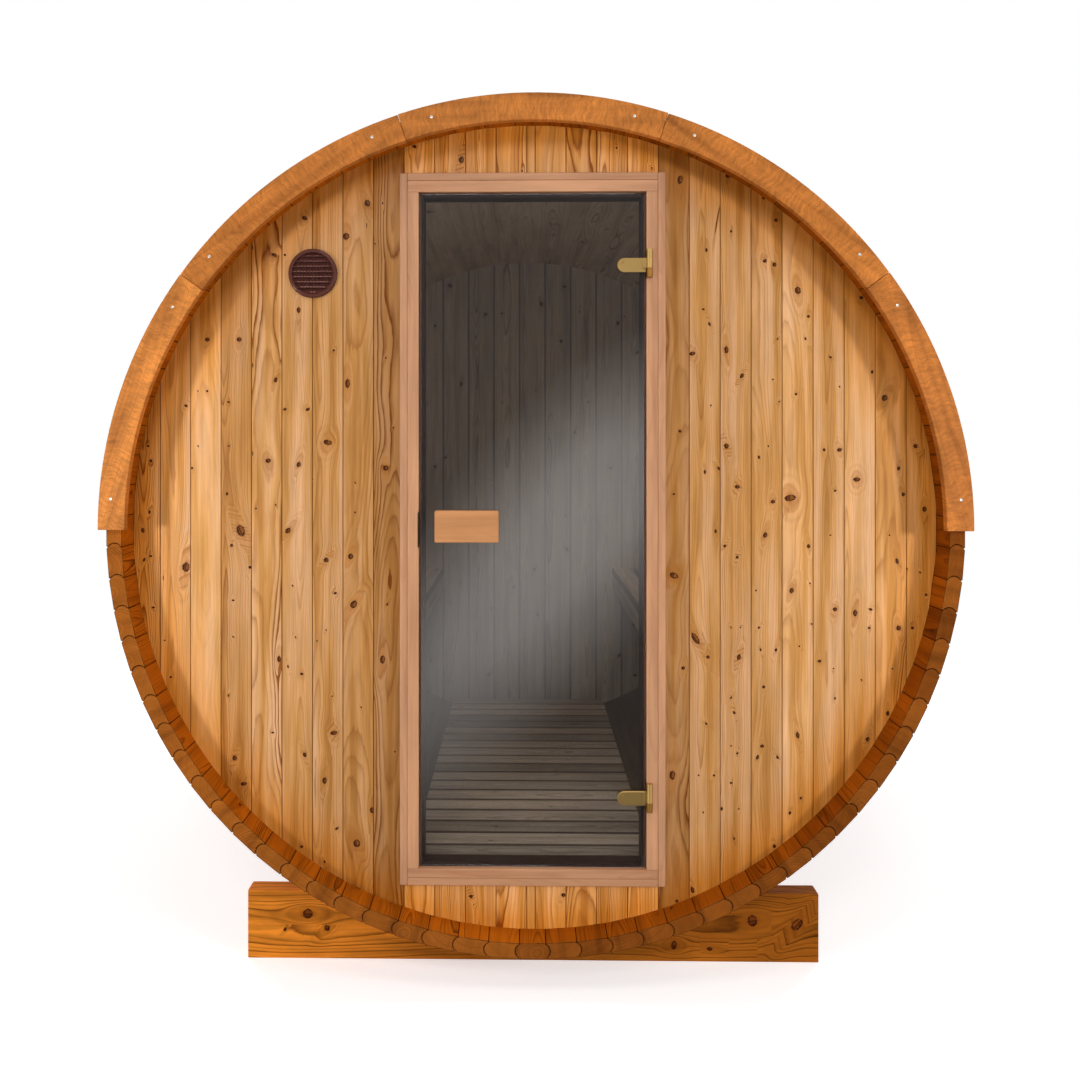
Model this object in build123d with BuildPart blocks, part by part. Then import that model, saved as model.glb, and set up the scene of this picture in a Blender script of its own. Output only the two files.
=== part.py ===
from build123d import *
import os
from math import atan, cos, degrees, radians, sin, sqrt, tan

# Barrel sauna: bead-and-cove staves round two boarded end walls, with a glass door.
# Millimetres. X runs to the right, Y along the barrel with the door at -Y, Z up.
# The origin lies on the ground, under the middle of the barrel.

# ---- barrel -----------------------------------------------------------------
BARREL_LENGTH = 2400.0
INNER_APOTHEM = 1088.0  # barrel axis to the flat inner face of a stave
STAVE_THICKNESS = 42.0
STAVE_COUNT = 84
KEY_STAVE_SHARE = 0.85  # of a full stave: the bottom stave, the first one laid
STAVE_GAP = 0.4  # between neighbouring staves
BEAD_HEIGHT = 12.0
BEAD_LAND = 2.0  # flat left beside each bead
GROUND_CLEARANCE = 103.0  # under the lowest stave

# ---- end walls --------------------------------------------------------------
WALL_RECESS = 84.0  # from the ends of the staves
WALL_THICKNESS = 45.0
CROZE_DEPTH = 10.0  # the groove in the staves that holds a wall
CROZE_CLEARANCE = 0.3  # each side of the wall
CROZE_FLOOR_GAP = 2.0  # between the wall's rim and the groove's floor
BOARD_PITCH = 83.3
BACK_BOARD_PITCH = 122.5
BACK_JOINT_X = -39.6  # one joint of the back wall; the rest follow from it
BOARD_GAP = 0.4
BOARD_CHAMFER = 2.5
NARROWEST_BOARD = 12.0  # a narrower rip joins its neighbour
FILLER_WIDTH = 22.8  # the narrow closing strip near the middle
FILLER_X = -3.7

# ---- trim rings, hoops and cradles ------------------------------------------
TRIM_REVEAL = 15.5  # inside the inner faces of the staves
TRIM_OVERHANG = 14.0  # past the outer faces of the staves
TRIM_THICKNESS = 25.0
TRIM_SEGMENTS = 5
TRIM_JOINT = 1.0
HOOP_WIDTH = 30.0
HOOP_THICKNESS = 1.2
HOOP_CLEARANCE = 0.5  # over the corners of the staves
HOOP_SPACING = 700.0
HOOP_OPENING = 60.0  # between the two lugs
HOOP_LUG_HEIGHT = 26.0
HOOP_LUG_THICKNESS = 4.0
TENSIONER_ANGLE = 60.0  # up the right-hand side from the bottom
ROD_DIAMETER = 8.0
ROD_HOLE_CLEARANCE = 0.3
ROD_END = 18.0  # past each lug
NUT_ACROSS_FLATS = 13.0
NUT_THICKNESS = 7.0
CRADLE_LENGTH = 1612.0
CRADLE_HEIGHT = 193.0
CRADLE_THICKNESS = 60.0
CRADLE_INSET = 202.0  # from the ends of the staves
CRADLE_SEAT_GAP = 0.3

# ---- doorway ----------------------------------------------------------------
CLEAR_WIDTH = 616.0
CLEAR_TOP = 908.0  # above the barrel's axis
CLEAR_BOTTOM = -924.0
JAMB_WIDTH = 30.5
SILL_HEIGHT = 24.0
FRAME_DEPTH = 70.0
FRAME_PROUD = 10.0  # in front of the boards
FRAME_FIT = 0.3  # round the frame and between its pieces
STOP_WIDTH = 14.0
CASING_WIDTH = 20.0
CASING_THICKNESS = 12.0

# ---- glass door -------------------------------------------------------------
GLASS_THICKNESS = 8.0
GLASS_SETBACK = 4.0  # behind the front of the frame
GLASS_GAP = 6.0  # to the frame all round, and to the stop
GLASS_CORNER = 4.0
HANDLE_LENGTH = 173.0
HANDLE_HEIGHT = 86.0
HANDLE_THICKNESS = 24.0
HANDLE_CHAMFER = 1.5
HANDLE_INSET = 131.0  # its middle, from the left side of the doorway
HANDLE_Z = 3.5  # above the barrel's axis

# ---- hinges -----------------------------------------------------------------
UPPER_HINGE_DROP = 196.0  # its middle, below the top of the doorway
LOWER_HINGE_RISE = 198.0  # its middle, above the bottom of the doorway
PIN_OFFSET = 7.0  # outside the doorway's clear width
KNUCKLE_DIAMETER = 16.0
KNUCKLE_HEIGHT = 76.0
KNUCKLE_STANDOFF = 0.5  # in front of the frame
FRAME_KNUCKLE_HEIGHT = 25.0
KNUCKLE_GAP = 0.5
PIN_DIAMETER = 8.0
PIN_CLEARANCE = 0.1
PIN_LENGTH = 40.0  # above the frame's knuckle
CLAMP_LENGTH = 77.0
CLAMP_HEIGHT = 38.0
CLAMP_FRONT = 8.0
CLAMP_BACK = 5.0
CLAMP_TO_KNUCKLE = 9.0  # from the pin's axis
CLAMP_DROP = 3.5  # of the clamp's middle below the knuckle's
CLAMP_EDGE = 1.2
CLAMP_STOP_GAP = 6.0
BOLT_DIAMETER = 10.0
BOLT_HOLE = 14.0
LEAF_THICKNESS = 2.5
LEAF_DEPTH = 28.0
LEAF_SETBACK = 3.0  # from the front of the jamb
LEAF_FIT = 0.2

# ---- roller catch -----------------------------------------------------------
CATCH_Z = -7.0
CATCH_HEIGHT = 96.0
CATCH_DEPTH = 16.0
CATCH_THICKNESS = 2.5
CATCH_SETBACK = 1.5
ROLLER_DIAMETER = 12.0
ROLLER_HEIGHT = 14.0
ROLLER_PROUD = 0.5
ROLLER_POCKET = 0.6  # room round the roller

# ---- vent -------------------------------------------------------------------
VENT_DIAMETER = 133.0
VENT_X = -596.0
VENT_Z = 689.0
VENT_RING = 10.0
VENT_DEPTH = 11.0
VENT_BACK = 2.0
LOUVRE_COUNT = 8
LOUVRE_DEPTH = 12.0
LOUVRE_THICKNESS = 1.8
LOUVRE_TILT = 42.0

# ---- inside -----------------------------------------------------------------
FLOOR_TOP = -1002.0  # above the barrel's axis
FLOOR_WIDTH = 715.0
FLOOR_SLAT_WIDTH = 90.0
FLOOR_SLAT_GAP = 10.0
FLOOR_SLAT_THICKNESS = 22.0
FLOOR_BEARER_WIDTH = 45.0
FLOOR_BEARER_X = 265.0
BENCH_TOP = -377.0
BENCH_FRONT = 405.0
BENCH_SLAT_WIDTH = 88.0
BENCH_SLAT_GAP = 13.5
BENCH_SLAT_COUNT = 6
BENCH_SLAT_THICKNESS = 26.0
FASCIA_HEIGHT = 75.0
FASCIA_THICKNESS = 26.0
BENCH_BEARER_HEIGHT = 70.0
BENCH_BEARER_WIDTH = 45.0
INSIDE_GAP = 0.3  # where timber ends against timber
SLAT_CHAMFER = 2.0

# ---- worked out -------------------------------------------------------------
OUTER_APOTHEM = INNER_APOTHEM + STAVE_THICKNESS
MID_RADIUS = INNER_APOTHEM + STAVE_THICKNESS / 2
AXIS_HEIGHT = GROUND_CLEARANCE + OUTER_APOTHEM
RIM_Y = BARREL_LENGTH / 2

STAVE_PITCH = 360 / STAVE_COUNT
SIDE_STAVES = (STAVE_COUNT - 2) // 2
FULL_STAVE = 2 * INNER_APOTHEM * tan(radians(STAVE_PITCH / 2))
KEY_STAVE_WIDTH = KEY_STAVE_SHARE * FULL_STAVE
KEY_HALF_ANGLE = degrees(atan(KEY_STAVE_WIDTH / 2 / INNER_APOTHEM))
TOP_HALF_ANGLE = 180 - KEY_HALF_ANGLE - SIDE_STAVES * STAVE_PITCH
STAVE_WIDTH = FULL_STAVE - STAVE_GAP
TOP_STAVE_WIDTH = 2 * INNER_APOTHEM * tan(radians(TOP_HALF_ANGLE)) - STAVE_GAP
CORNER_RADIUS = sqrt(OUTER_APOTHEM**2 + (max(STAVE_WIDTH, TOP_STAVE_WIDTH) / 2) ** 2)
BEAD_HALF_CHORD = STAVE_THICKNESS / 2 - BEAD_LAND
BEAD_RADIUS = (BEAD_HALF_CHORD**2 + BEAD_HEIGHT**2) / (2 * BEAD_HEIGHT)

WALL_FRONT_Y = -RIM_Y + WALL_RECESS
WALL_BACK_Y = WALL_FRONT_Y + WALL_THICKNESS
WALL_RADIUS = INNER_APOTHEM + CROZE_DEPTH - CROZE_FLOOR_GAP
CROZE_WIDTH = WALL_THICKNESS + 2 * CROZE_CLEARANCE
INSIDE_LENGTH = -2 * WALL_BACK_Y
INSIDE_RADIUS = INNER_APOTHEM - INSIDE_GAP

TRIM_INNER_RADIUS = INNER_APOTHEM - TRIM_REVEAL
TRIM_OUTER_RADIUS = OUTER_APOTHEM + TRIM_OVERHANG

FRAME_FRONT_Y = WALL_FRONT_Y - FRAME_PROUD
FRAME_HALF_WIDTH = CLEAR_WIDTH / 2 + JAMB_WIDTH
FRAME_TOP = CLEAR_TOP + JAMB_WIDTH
FRAME_BOTTOM = CLEAR_BOTTOM - SILL_HEIGHT
GLASS_FRONT_Y = FRAME_FRONT_Y + GLASS_SETBACK
GLASS_BACK_Y = GLASS_FRONT_Y + GLASS_THICKNESS
STOP_FRONT_Y = GLASS_BACK_Y + GLASS_GAP
STOP_DEPTH = FRAME_FRONT_Y + FRAME_DEPTH - STOP_FRONT_Y
HANDLE_X = -CLEAR_WIDTH / 2 + HANDLE_INSET
HINGE_HEIGHTS = {"upper": CLEAR_TOP - UPPER_HINGE_DROP, "lower": CLEAR_BOTTOM + LOWER_HINGE_RISE}
PIN_X = CLEAR_WIDTH / 2 + PIN_OFFSET
PIN_Y = FRAME_FRONT_Y - KNUCKLE_STANDOFF - KNUCKLE_DIAMETER / 2
CLAMP_RIGHT = PIN_X - CLAMP_TO_KNUCKLE
CLAMP_LEFT = CLAMP_RIGHT - CLAMP_LENGTH
CLAMP_BOLT_X = CLAMP_LEFT + CLAMP_HEIGHT / 2
ROLLER_X = -CLEAR_WIDTH / 2 + ROLLER_PROUD - ROLLER_DIAMETER / 2
ROLLER_Y = FRAME_FRONT_Y + CATCH_SETBACK + CATCH_DEPTH / 2

os.makedirs("parts", exist_ok=True)


def write(name, part):
    """Label one finished sub-part and write its STEP file."""
    part.label = name
    export_step(part, f"parts/{name}.step")


def box_between(low, high):
    """A plain box from its low corner to its high corner."""
    with BuildPart() as block:
        with BuildSketch(Plane.XY.offset(low[2])):
            with Locations(((low[0] + high[0]) / 2, (low[1] + high[1]) / 2)):
                Rectangle(high[0] - low[0], high[1] - low[1])
        extrude(amount=high[2] - low[2])
    return block.part


def cylinder_on(plane, radius, length):
    """A cylinder that grows from a plane along its normal."""
    with BuildPart() as rod:
        with BuildSketch(plane):
            Circle(radius)
        extrude(amount=length)
    return rod.part


def along_barrel(radius, y, length):
    """A cylinder about the barrel's axis that starts at y."""
    return cylinder_on(Plane((0, y, AXIS_HEIGHT), x_dir=(1, 0, 0), z_dir=(0, 1, 0)), radius, length)


# ---- staves -----------------------------------------------------------------
def radial_plane(angle, y):
    """The plane across the barrel at y for a stave this far up the right-hand side.

    Local x runs up along the shell and local y outwards from the barrel's axis.
    """
    turn = radians(angle)
    return Plane((0, y, AXIS_HEIGHT), x_dir=(cos(turn), 0, sin(turn)), z_dir=(0, 1, 0))


def cove_center(neighbour_width, turn):
    """The centre of a neighbour's bead, as (distance to the side, radius) from this stave."""
    x = neighbour_width / 2 + BEAD_HEIGHT - BEAD_RADIUS
    turn = radians(turn)
    return MID_RADIUS * sin(turn) - x * cos(turn), MID_RADIUS * cos(turn) + x * sin(turn)


def edge_arc(side, half_width, cove):
    """Start, middle and end of the arc on one edge, outwards: a bead where cove is None."""
    if cove is None:
        reach, middle, rise = half_width + BEAD_HEIGHT, MID_RADIUS, BEAD_HALF_CHORD
    else:
        radius = BEAD_RADIUS + STAVE_GAP
        reach, middle = cove[0] - radius, cove[1]
        rise = sqrt(radius**2 - (cove[0] - half_width) ** 2)
    return [
        (side * half_width, middle - rise),
        (side * reach, middle),
        (side * half_width, middle + rise),
    ]


def stave(angle, width, lower, upper):
    """One stave with a bead or a cove along each edge and a croze groove for each wall."""
    half_width = width / 2
    low, high = edge_arc(-1, half_width, lower), edge_arc(1, half_width, upper)
    with BuildPart() as blank:
        with BuildSketch(radial_plane(angle, -RIM_Y)):
            with BuildLine():
                Polyline(low[0], (-half_width, INNER_APOTHEM), (half_width, INNER_APOTHEM), high[0])
                ThreePointArc(*high)
                Polyline(high[2], (half_width, OUTER_APOTHEM), (-half_width, OUTER_APOTHEM), low[2])
                ThreePointArc(*low)
            make_face()
        extrude(amount=BARREL_LENGTH)
        for groove_y in (WALL_FRONT_Y - CROZE_CLEARANCE, -WALL_BACK_Y - CROZE_CLEARANCE):
            with BuildSketch(radial_plane(angle, groove_y)):
                with Locations((0, INNER_APOTHEM)):
                    Rectangle(2 * (width + BEAD_HEIGHT), 2 * CROZE_DEPTH)
            extrude(amount=CROZE_WIDTH, mode=Mode.SUBTRACT)
    return blank.part


def side_stave(number):
    """A stave of the right-hand side, counted up from the key stave, cove down and bead up."""
    angle = KEY_HALF_ANGLE + (number + 0.5) * STAVE_PITCH
    if number == 0:
        lower = cove_center(KEY_STAVE_WIDTH, KEY_HALF_ANGLE + STAVE_PITCH / 2)
    else:
        lower = cove_center(STAVE_WIDTH, STAVE_PITCH)
    return stave(angle, STAVE_WIDTH, lower, None)


write("stave_bottom", stave(0, KEY_STAVE_WIDTH - STAVE_GAP, None, None))

TOP_COVE = cove_center(STAVE_WIDTH, TOP_HALF_ANGLE + STAVE_PITCH / 2)
write("stave_top", stave(180, TOP_STAVE_WIDTH, TOP_COVE, TOP_COVE))

QUARTERS = ["underside", "lower_side", "upper_side", "roof"]
for place, quarter in enumerate(QUARTERS):
    first = place * SIDE_STAVES // len(QUARTERS)
    last = (place + 1) * SIDE_STAVES // len(QUARTERS)
    with BuildPart() as staves_right:
        for number in range(first, last):
            add(side_stave(number))
    write(f"staves_right_{quarter}", staves_right.part)

    with BuildPart() as staves_left:
        mirror(staves_right.part, about=Plane.YZ)
    write(f"staves_left_{quarter}", staves_left.part)


# ---- end walls --------------------------------------------------------------
def boards(joints, x_from, x_to, z_from, z_to, y_from):
    """Upright boards with chamfered edges, cut to the round of the croze groove."""
    inside = [x for x in joints if x_from + NARROWEST_BOARD < x < x_to - NARROWEST_BOARD]
    edges = [x_from, *sorted(inside), x_to]
    with BuildPart() as wall:
        with BuildSketch(Plane.XY.offset(AXIS_HEIGHT + z_from)) as plan:
            for left, right in zip(edges, edges[1:]):
                with Locations(((left + right) / 2, y_from + WALL_THICKNESS / 2)):
                    Rectangle(right - left - BOARD_GAP, WALL_THICKNESS)
            chamfer(plan.vertices(), BOARD_CHAMFER)
        extrude(amount=z_to - z_from)
        add(along_barrel(WALL_RADIUS, y_from, WALL_THICKNESS), mode=Mode.INTERSECT)
    return wall.part


MOST_BOARDS = int(2 * WALL_RADIUS / BOARD_PITCH)
FRONT_JOINTS = [
    FILLER_X + side * (FILLER_WIDTH / 2 + n * BOARD_PITCH) for side in (-1, 1) for n in range(MOST_BOARDS)
]
BACK_JOINTS = [BACK_JOINT_X + n * BACK_BOARD_PITCH for n in range(-MOST_BOARDS, MOST_BOARDS + 1)]
OPENING_HALF_WIDTH = FRAME_HALF_WIDTH + FRAME_FIT
R = WALL_RADIUS
write("front_wall_left", boards(FRONT_JOINTS, -R, -OPENING_HALF_WIDTH, -R, R, WALL_FRONT_Y))
write("front_wall_right", boards(FRONT_JOINTS, OPENING_HALF_WIDTH, R, -R, R, WALL_FRONT_Y))
DOOR_SPAN = (-OPENING_HALF_WIDTH, OPENING_HALF_WIDTH)
over_door = boards(FRONT_JOINTS, *DOOR_SPAN, FRAME_TOP + FRAME_FIT, R, WALL_FRONT_Y)
write("front_wall_over_door", over_door)
under_door = boards(FRONT_JOINTS, *DOOR_SPAN, -R, FRAME_BOTTOM - FRAME_FIT, WALL_FRONT_Y)
write("front_wall_under_door", under_door)
write("back_wall", boards(BACK_JOINTS, -R, R, -R, R, -WALL_BACK_Y))


# ---- trim rings -------------------------------------------------------------
def trim_ring(y):
    """An arch of butted segments over the upper half of one end."""
    sweep_angle = 180 / TRIM_SEGMENTS
    half_joint = degrees(TRIM_JOINT / 2 / TRIM_OUTER_RADIUS)
    plane = Plane((0, y, AXIS_HEIGHT), x_dir=(1, 0, 0), z_dir=(0, 1, 0))
    with BuildPart() as ring:
        for segment in range(TRIM_SEGMENTS):
            # local y points down on this plane, so the arch takes negative angles
            start = -180 + segment * sweep_angle + (half_joint if segment else 0)
            end = -180 + (segment + 1) * sweep_angle
            end -= half_joint if segment < TRIM_SEGMENTS - 1 else 0
            with BuildSketch(plane):
                with BuildLine():
                    outer = CenterArc((0, 0), TRIM_OUTER_RADIUS, start, end - start)
                    inner = CenterArc((0, 0), TRIM_INNER_RADIUS, start, end - start)
                    Line(outer @ 0, inner @ 0)
                    Line(outer @ 1, inner @ 1)
                make_face()
            extrude(amount=TRIM_THICKNESS)
    return ring.part


write("trim_front", trim_ring(-RIM_Y - TRIM_THICKNESS))
write("trim_back", trim_ring(RIM_Y))

# ---- hoops ------------------------------------------------------------------
HOOP_RADIUS = CORNER_RADIUS + HOOP_CLEARANCE
HOOP_OUTER = HOOP_RADIUS + HOOP_THICKNESS
LUG_MIDDLE = HOOP_OUTER + HOOP_LUG_HEIGHT / 2
HOOP_ENDS = (-HOOP_SPACING, 0, HOOP_SPACING)

with BuildPart() as hoops:
    for middle in HOOP_ENDS:
        with BuildSketch(radial_plane(TENSIONER_ANGLE, middle - HOOP_WIDTH / 2)):
            Circle(HOOP_OUTER)
            for side in (-1, 1):
                lug_x = side * (HOOP_OPENING + HOOP_LUG_THICKNESS) / 2
                with Locations((lug_x, HOOP_RADIUS + HOOP_LUG_HEIGHT / 2)):
                    Rectangle(HOOP_LUG_THICKNESS, HOOP_LUG_HEIGHT)
            Circle(HOOP_RADIUS, mode=Mode.SUBTRACT)
            with Locations((0, HOOP_RADIUS)):
                Rectangle(HOOP_OPENING, 4 * HOOP_THICKNESS, mode=Mode.SUBTRACT)
        extrude(amount=HOOP_WIDTH)
        lug_hole = Plane(
            radial_plane(TENSIONER_ANGLE, middle).from_local_coords((-HOOP_OPENING, LUG_MIDDLE, 0)),
            x_dir=(0, 1, 0),
            z_dir=radial_plane(TENSIONER_ANGLE, middle).x_dir,
        )
        hole_radius = ROD_DIAMETER / 2 + ROD_HOLE_CLEARANCE
        add(cylinder_on(lug_hole, hole_radius, 2 * HOOP_OPENING), mode=Mode.SUBTRACT)
write("hoops", hoops.part)

with BuildPart() as hoop_tensioners:
    rod_length = HOOP_OPENING + 2 * (HOOP_LUG_THICKNESS + ROD_END)
    for middle in HOOP_ENDS:
        across = radial_plane(TENSIONER_ANGLE, middle)
        rod_plane = Plane(
            across.from_local_coords((-rod_length / 2, LUG_MIDDLE, 0)), x_dir=(0, 1, 0), z_dir=across.x_dir
        )
        with BuildSketch(rod_plane):
            Circle(ROD_DIAMETER / 2)
        extrude(amount=rod_length)
        nut_start = ROD_END - NUT_THICKNESS - STAVE_GAP
        for offset in (nut_start, rod_length - nut_start - NUT_THICKNESS):
            with BuildSketch(rod_plane.offset(offset)):
                RegularPolygon(NUT_ACROSS_FLATS / 2, 6, major_radius=False)
            extrude(amount=NUT_THICKNESS)
write("hoop_tensioners", hoop_tensioners.part)


# ---- cradles ----------------------------------------------------------------
def cradle(y):
    """A plank on edge, hollowed to the round of the barrel."""
    with BuildPart() as plank:
        with BuildSketch(Plane.XY):
            with Locations((0, y + CRADLE_THICKNESS / 2)):
                Rectangle(CRADLE_LENGTH, CRADLE_THICKNESS)
        extrude(amount=CRADLE_HEIGHT)
        add(along_barrel(CORNER_RADIUS + CRADLE_SEAT_GAP, y, CRADLE_THICKNESS), mode=Mode.SUBTRACT)
    return plank.part


write("cradle_front", cradle(-RIM_Y + CRADLE_INSET))
write("cradle_back", cradle(RIM_Y - CRADLE_INSET - CRADLE_THICKNESS))


# ---- door frame -------------------------------------------------------------
def frame_piece(x_from, x_to, z_from, z_to):
    """A timber of the frame's depth; heights are from the barrel's axis."""
    low = (x_from, FRAME_FRONT_Y, AXIS_HEIGHT + z_from)
    return box_between(low, (x_to, FRAME_FRONT_Y + FRAME_DEPTH, AXIS_HEIGHT + z_to))


with BuildPart() as door_frame_head:
    add(frame_piece(-FRAME_HALF_WIDTH, FRAME_HALF_WIDTH, CLEAR_TOP, FRAME_TOP))
write("door_frame_head", door_frame_head.part)

with BuildPart() as door_frame_sill:
    add(frame_piece(-FRAME_HALF_WIDTH, FRAME_HALF_WIDTH, FRAME_BOTTOM, CLEAR_BOTTOM))
write("door_frame_sill", door_frame_sill.part)

JAMB_TOP = CLEAR_TOP - FRAME_FIT
JAMB_BOTTOM = CLEAR_BOTTOM + FRAME_FIT
CLEAR_HALF = CLEAR_WIDTH / 2

with BuildPart() as door_frame_left:
    add(frame_piece(-FRAME_HALF_WIDTH, -CLEAR_HALF, JAMB_BOTTOM, JAMB_TOP))
    catch_middle = AXIS_HEIGHT + CATCH_Z
    plate_room = CATCH_HEIGHT / 2 + LEAF_FIT
    plate_low = (-CLEAR_HALF - CATCH_THICKNESS - LEAF_FIT, FRAME_FRONT_Y, catch_middle - plate_room)
    plate_high = (-CLEAR_HALF, ROLLER_Y + CATCH_DEPTH / 2 + LEAF_FIT, catch_middle + plate_room)
    add(box_between(plate_low, plate_high), mode=Mode.SUBTRACT)
    room = ROLLER_DIAMETER / 2 + ROLLER_POCKET
    room_low = (ROLLER_X - room, ROLLER_Y - room, catch_middle - ROLLER_HEIGHT / 2 - ROLLER_POCKET)
    room_high = (-CLEAR_HALF, ROLLER_Y + room, catch_middle + ROLLER_HEIGHT / 2 + ROLLER_POCKET)
    add(box_between(room_low, room_high), mode=Mode.SUBTRACT)
write("door_frame_left", door_frame_left.part)

with BuildPart() as door_frame_right:
    add(frame_piece(CLEAR_HALF, FRAME_HALF_WIDTH, JAMB_BOTTOM, JAMB_TOP))
    for height in HINGE_HEIGHTS.values():
        middle = AXIS_HEIGHT + height
        leaf_room = KNUCKLE_HEIGHT / 2 + LEAF_FIT
        pocket_low = (CLEAR_HALF, FRAME_FRONT_Y, middle - leaf_room)
        pocket_high = (
            CLEAR_HALF + LEAF_THICKNESS + LEAF_FIT,
            FRAME_FRONT_Y + LEAF_SETBACK + LEAF_DEPTH + LEAF_FIT,
            middle + leaf_room,
        )
        add(box_between(pocket_low, pocket_high), mode=Mode.SUBTRACT)
write("door_frame_right", door_frame_right.part)

with BuildPart() as door_stop:
    stop_back = STOP_FRONT_Y + STOP_DEPTH
    for side in (-1, 1):
        outer, inner = side * (CLEAR_HALF - FRAME_FIT), side * (CLEAR_HALF - STOP_WIDTH)
        low = (min(outer, inner), STOP_FRONT_Y, AXIS_HEIGHT + JAMB_BOTTOM)
        high = (max(outer, inner), stop_back, AXIS_HEIGHT + JAMB_TOP)
        add(box_between(low, high))
    reach = CLEAR_HALF - STOP_WIDTH - FRAME_FIT
    for z_from, z_to in (
        (JAMB_BOTTOM, CLEAR_BOTTOM + STOP_WIDTH),
        (CLEAR_TOP - STOP_WIDTH, JAMB_TOP),
    ):
        low = (-reach, STOP_FRONT_Y, AXIS_HEIGHT + z_from)
        add(box_between(low, (reach, stop_back, AXIS_HEIGHT + z_to)))
write("door_stop", door_stop.part)

with BuildPart() as door_casing:
    casing_y = WALL_FRONT_Y - CASING_THICKNESS
    inner = FRAME_HALF_WIDTH + FRAME_FIT
    casing_top, casing_bottom = FRAME_TOP + FRAME_FIT, FRAME_BOTTOM - FRAME_FIT
    for x_from, x_to in ((-inner - CASING_WIDTH, -inner), (inner, inner + CASING_WIDTH)):
        low = (x_from, casing_y, AXIS_HEIGHT + casing_bottom - CASING_WIDTH)
        add(box_between(low, (x_to, WALL_FRONT_Y, AXIS_HEIGHT + casing_top + CASING_WIDTH)))
    reach = inner - FRAME_FIT
    for z_from in (casing_bottom - CASING_WIDTH, casing_top):
        low = (-reach, casing_y, AXIS_HEIGHT + z_from)
        add(box_between(low, (reach, WALL_FRONT_Y, AXIS_HEIGHT + z_from + CASING_WIDTH)))
write("door_casing", door_casing.part)

# ---- glass, with a hole for each hinge's bolt --------------------------------
GLASS_HALF = CLEAR_HALF - GLASS_GAP
with BuildPart() as door_glass:
    low = (-GLASS_HALF, GLASS_FRONT_Y, AXIS_HEIGHT + CLEAR_BOTTOM + GLASS_GAP)
    add(box_between(low, (GLASS_HALF, GLASS_BACK_Y, AXIS_HEIGHT + CLEAR_TOP - GLASS_GAP)))
    fillet(door_glass.edges().filter_by(Axis.Y), GLASS_CORNER)
    for height in HINGE_HEIGHTS.values():
        bolt = (CLAMP_BOLT_X, GLASS_FRONT_Y, AXIS_HEIGHT + height - CLAMP_DROP)
        bolt_plane = Plane(bolt, x_dir=(1, 0, 0), z_dir=(0, 1, 0))
        add(cylinder_on(bolt_plane, BOLT_HOLE / 2, GLASS_THICKNESS), mode=Mode.SUBTRACT)
write("door_glass", door_glass.part)


def handle(y_from):
    """A plain block that is gripped by its edges."""
    middle = AXIS_HEIGHT + HANDLE_Z
    low = (HANDLE_X - HANDLE_LENGTH / 2, y_from, middle - HANDLE_HEIGHT / 2)
    high = (HANDLE_X + HANDLE_LENGTH / 2, y_from + HANDLE_THICKNESS, middle + HANDLE_HEIGHT / 2)
    with BuildPart() as block:
        add(box_between(low, high))
        chamfer(block.edges(), HANDLE_CHAMFER)
    return block.part


write("handle_outside", handle(GLASS_FRONT_Y - HANDLE_THICKNESS))
write("handle_inside", handle(GLASS_BACK_Y))

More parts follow.
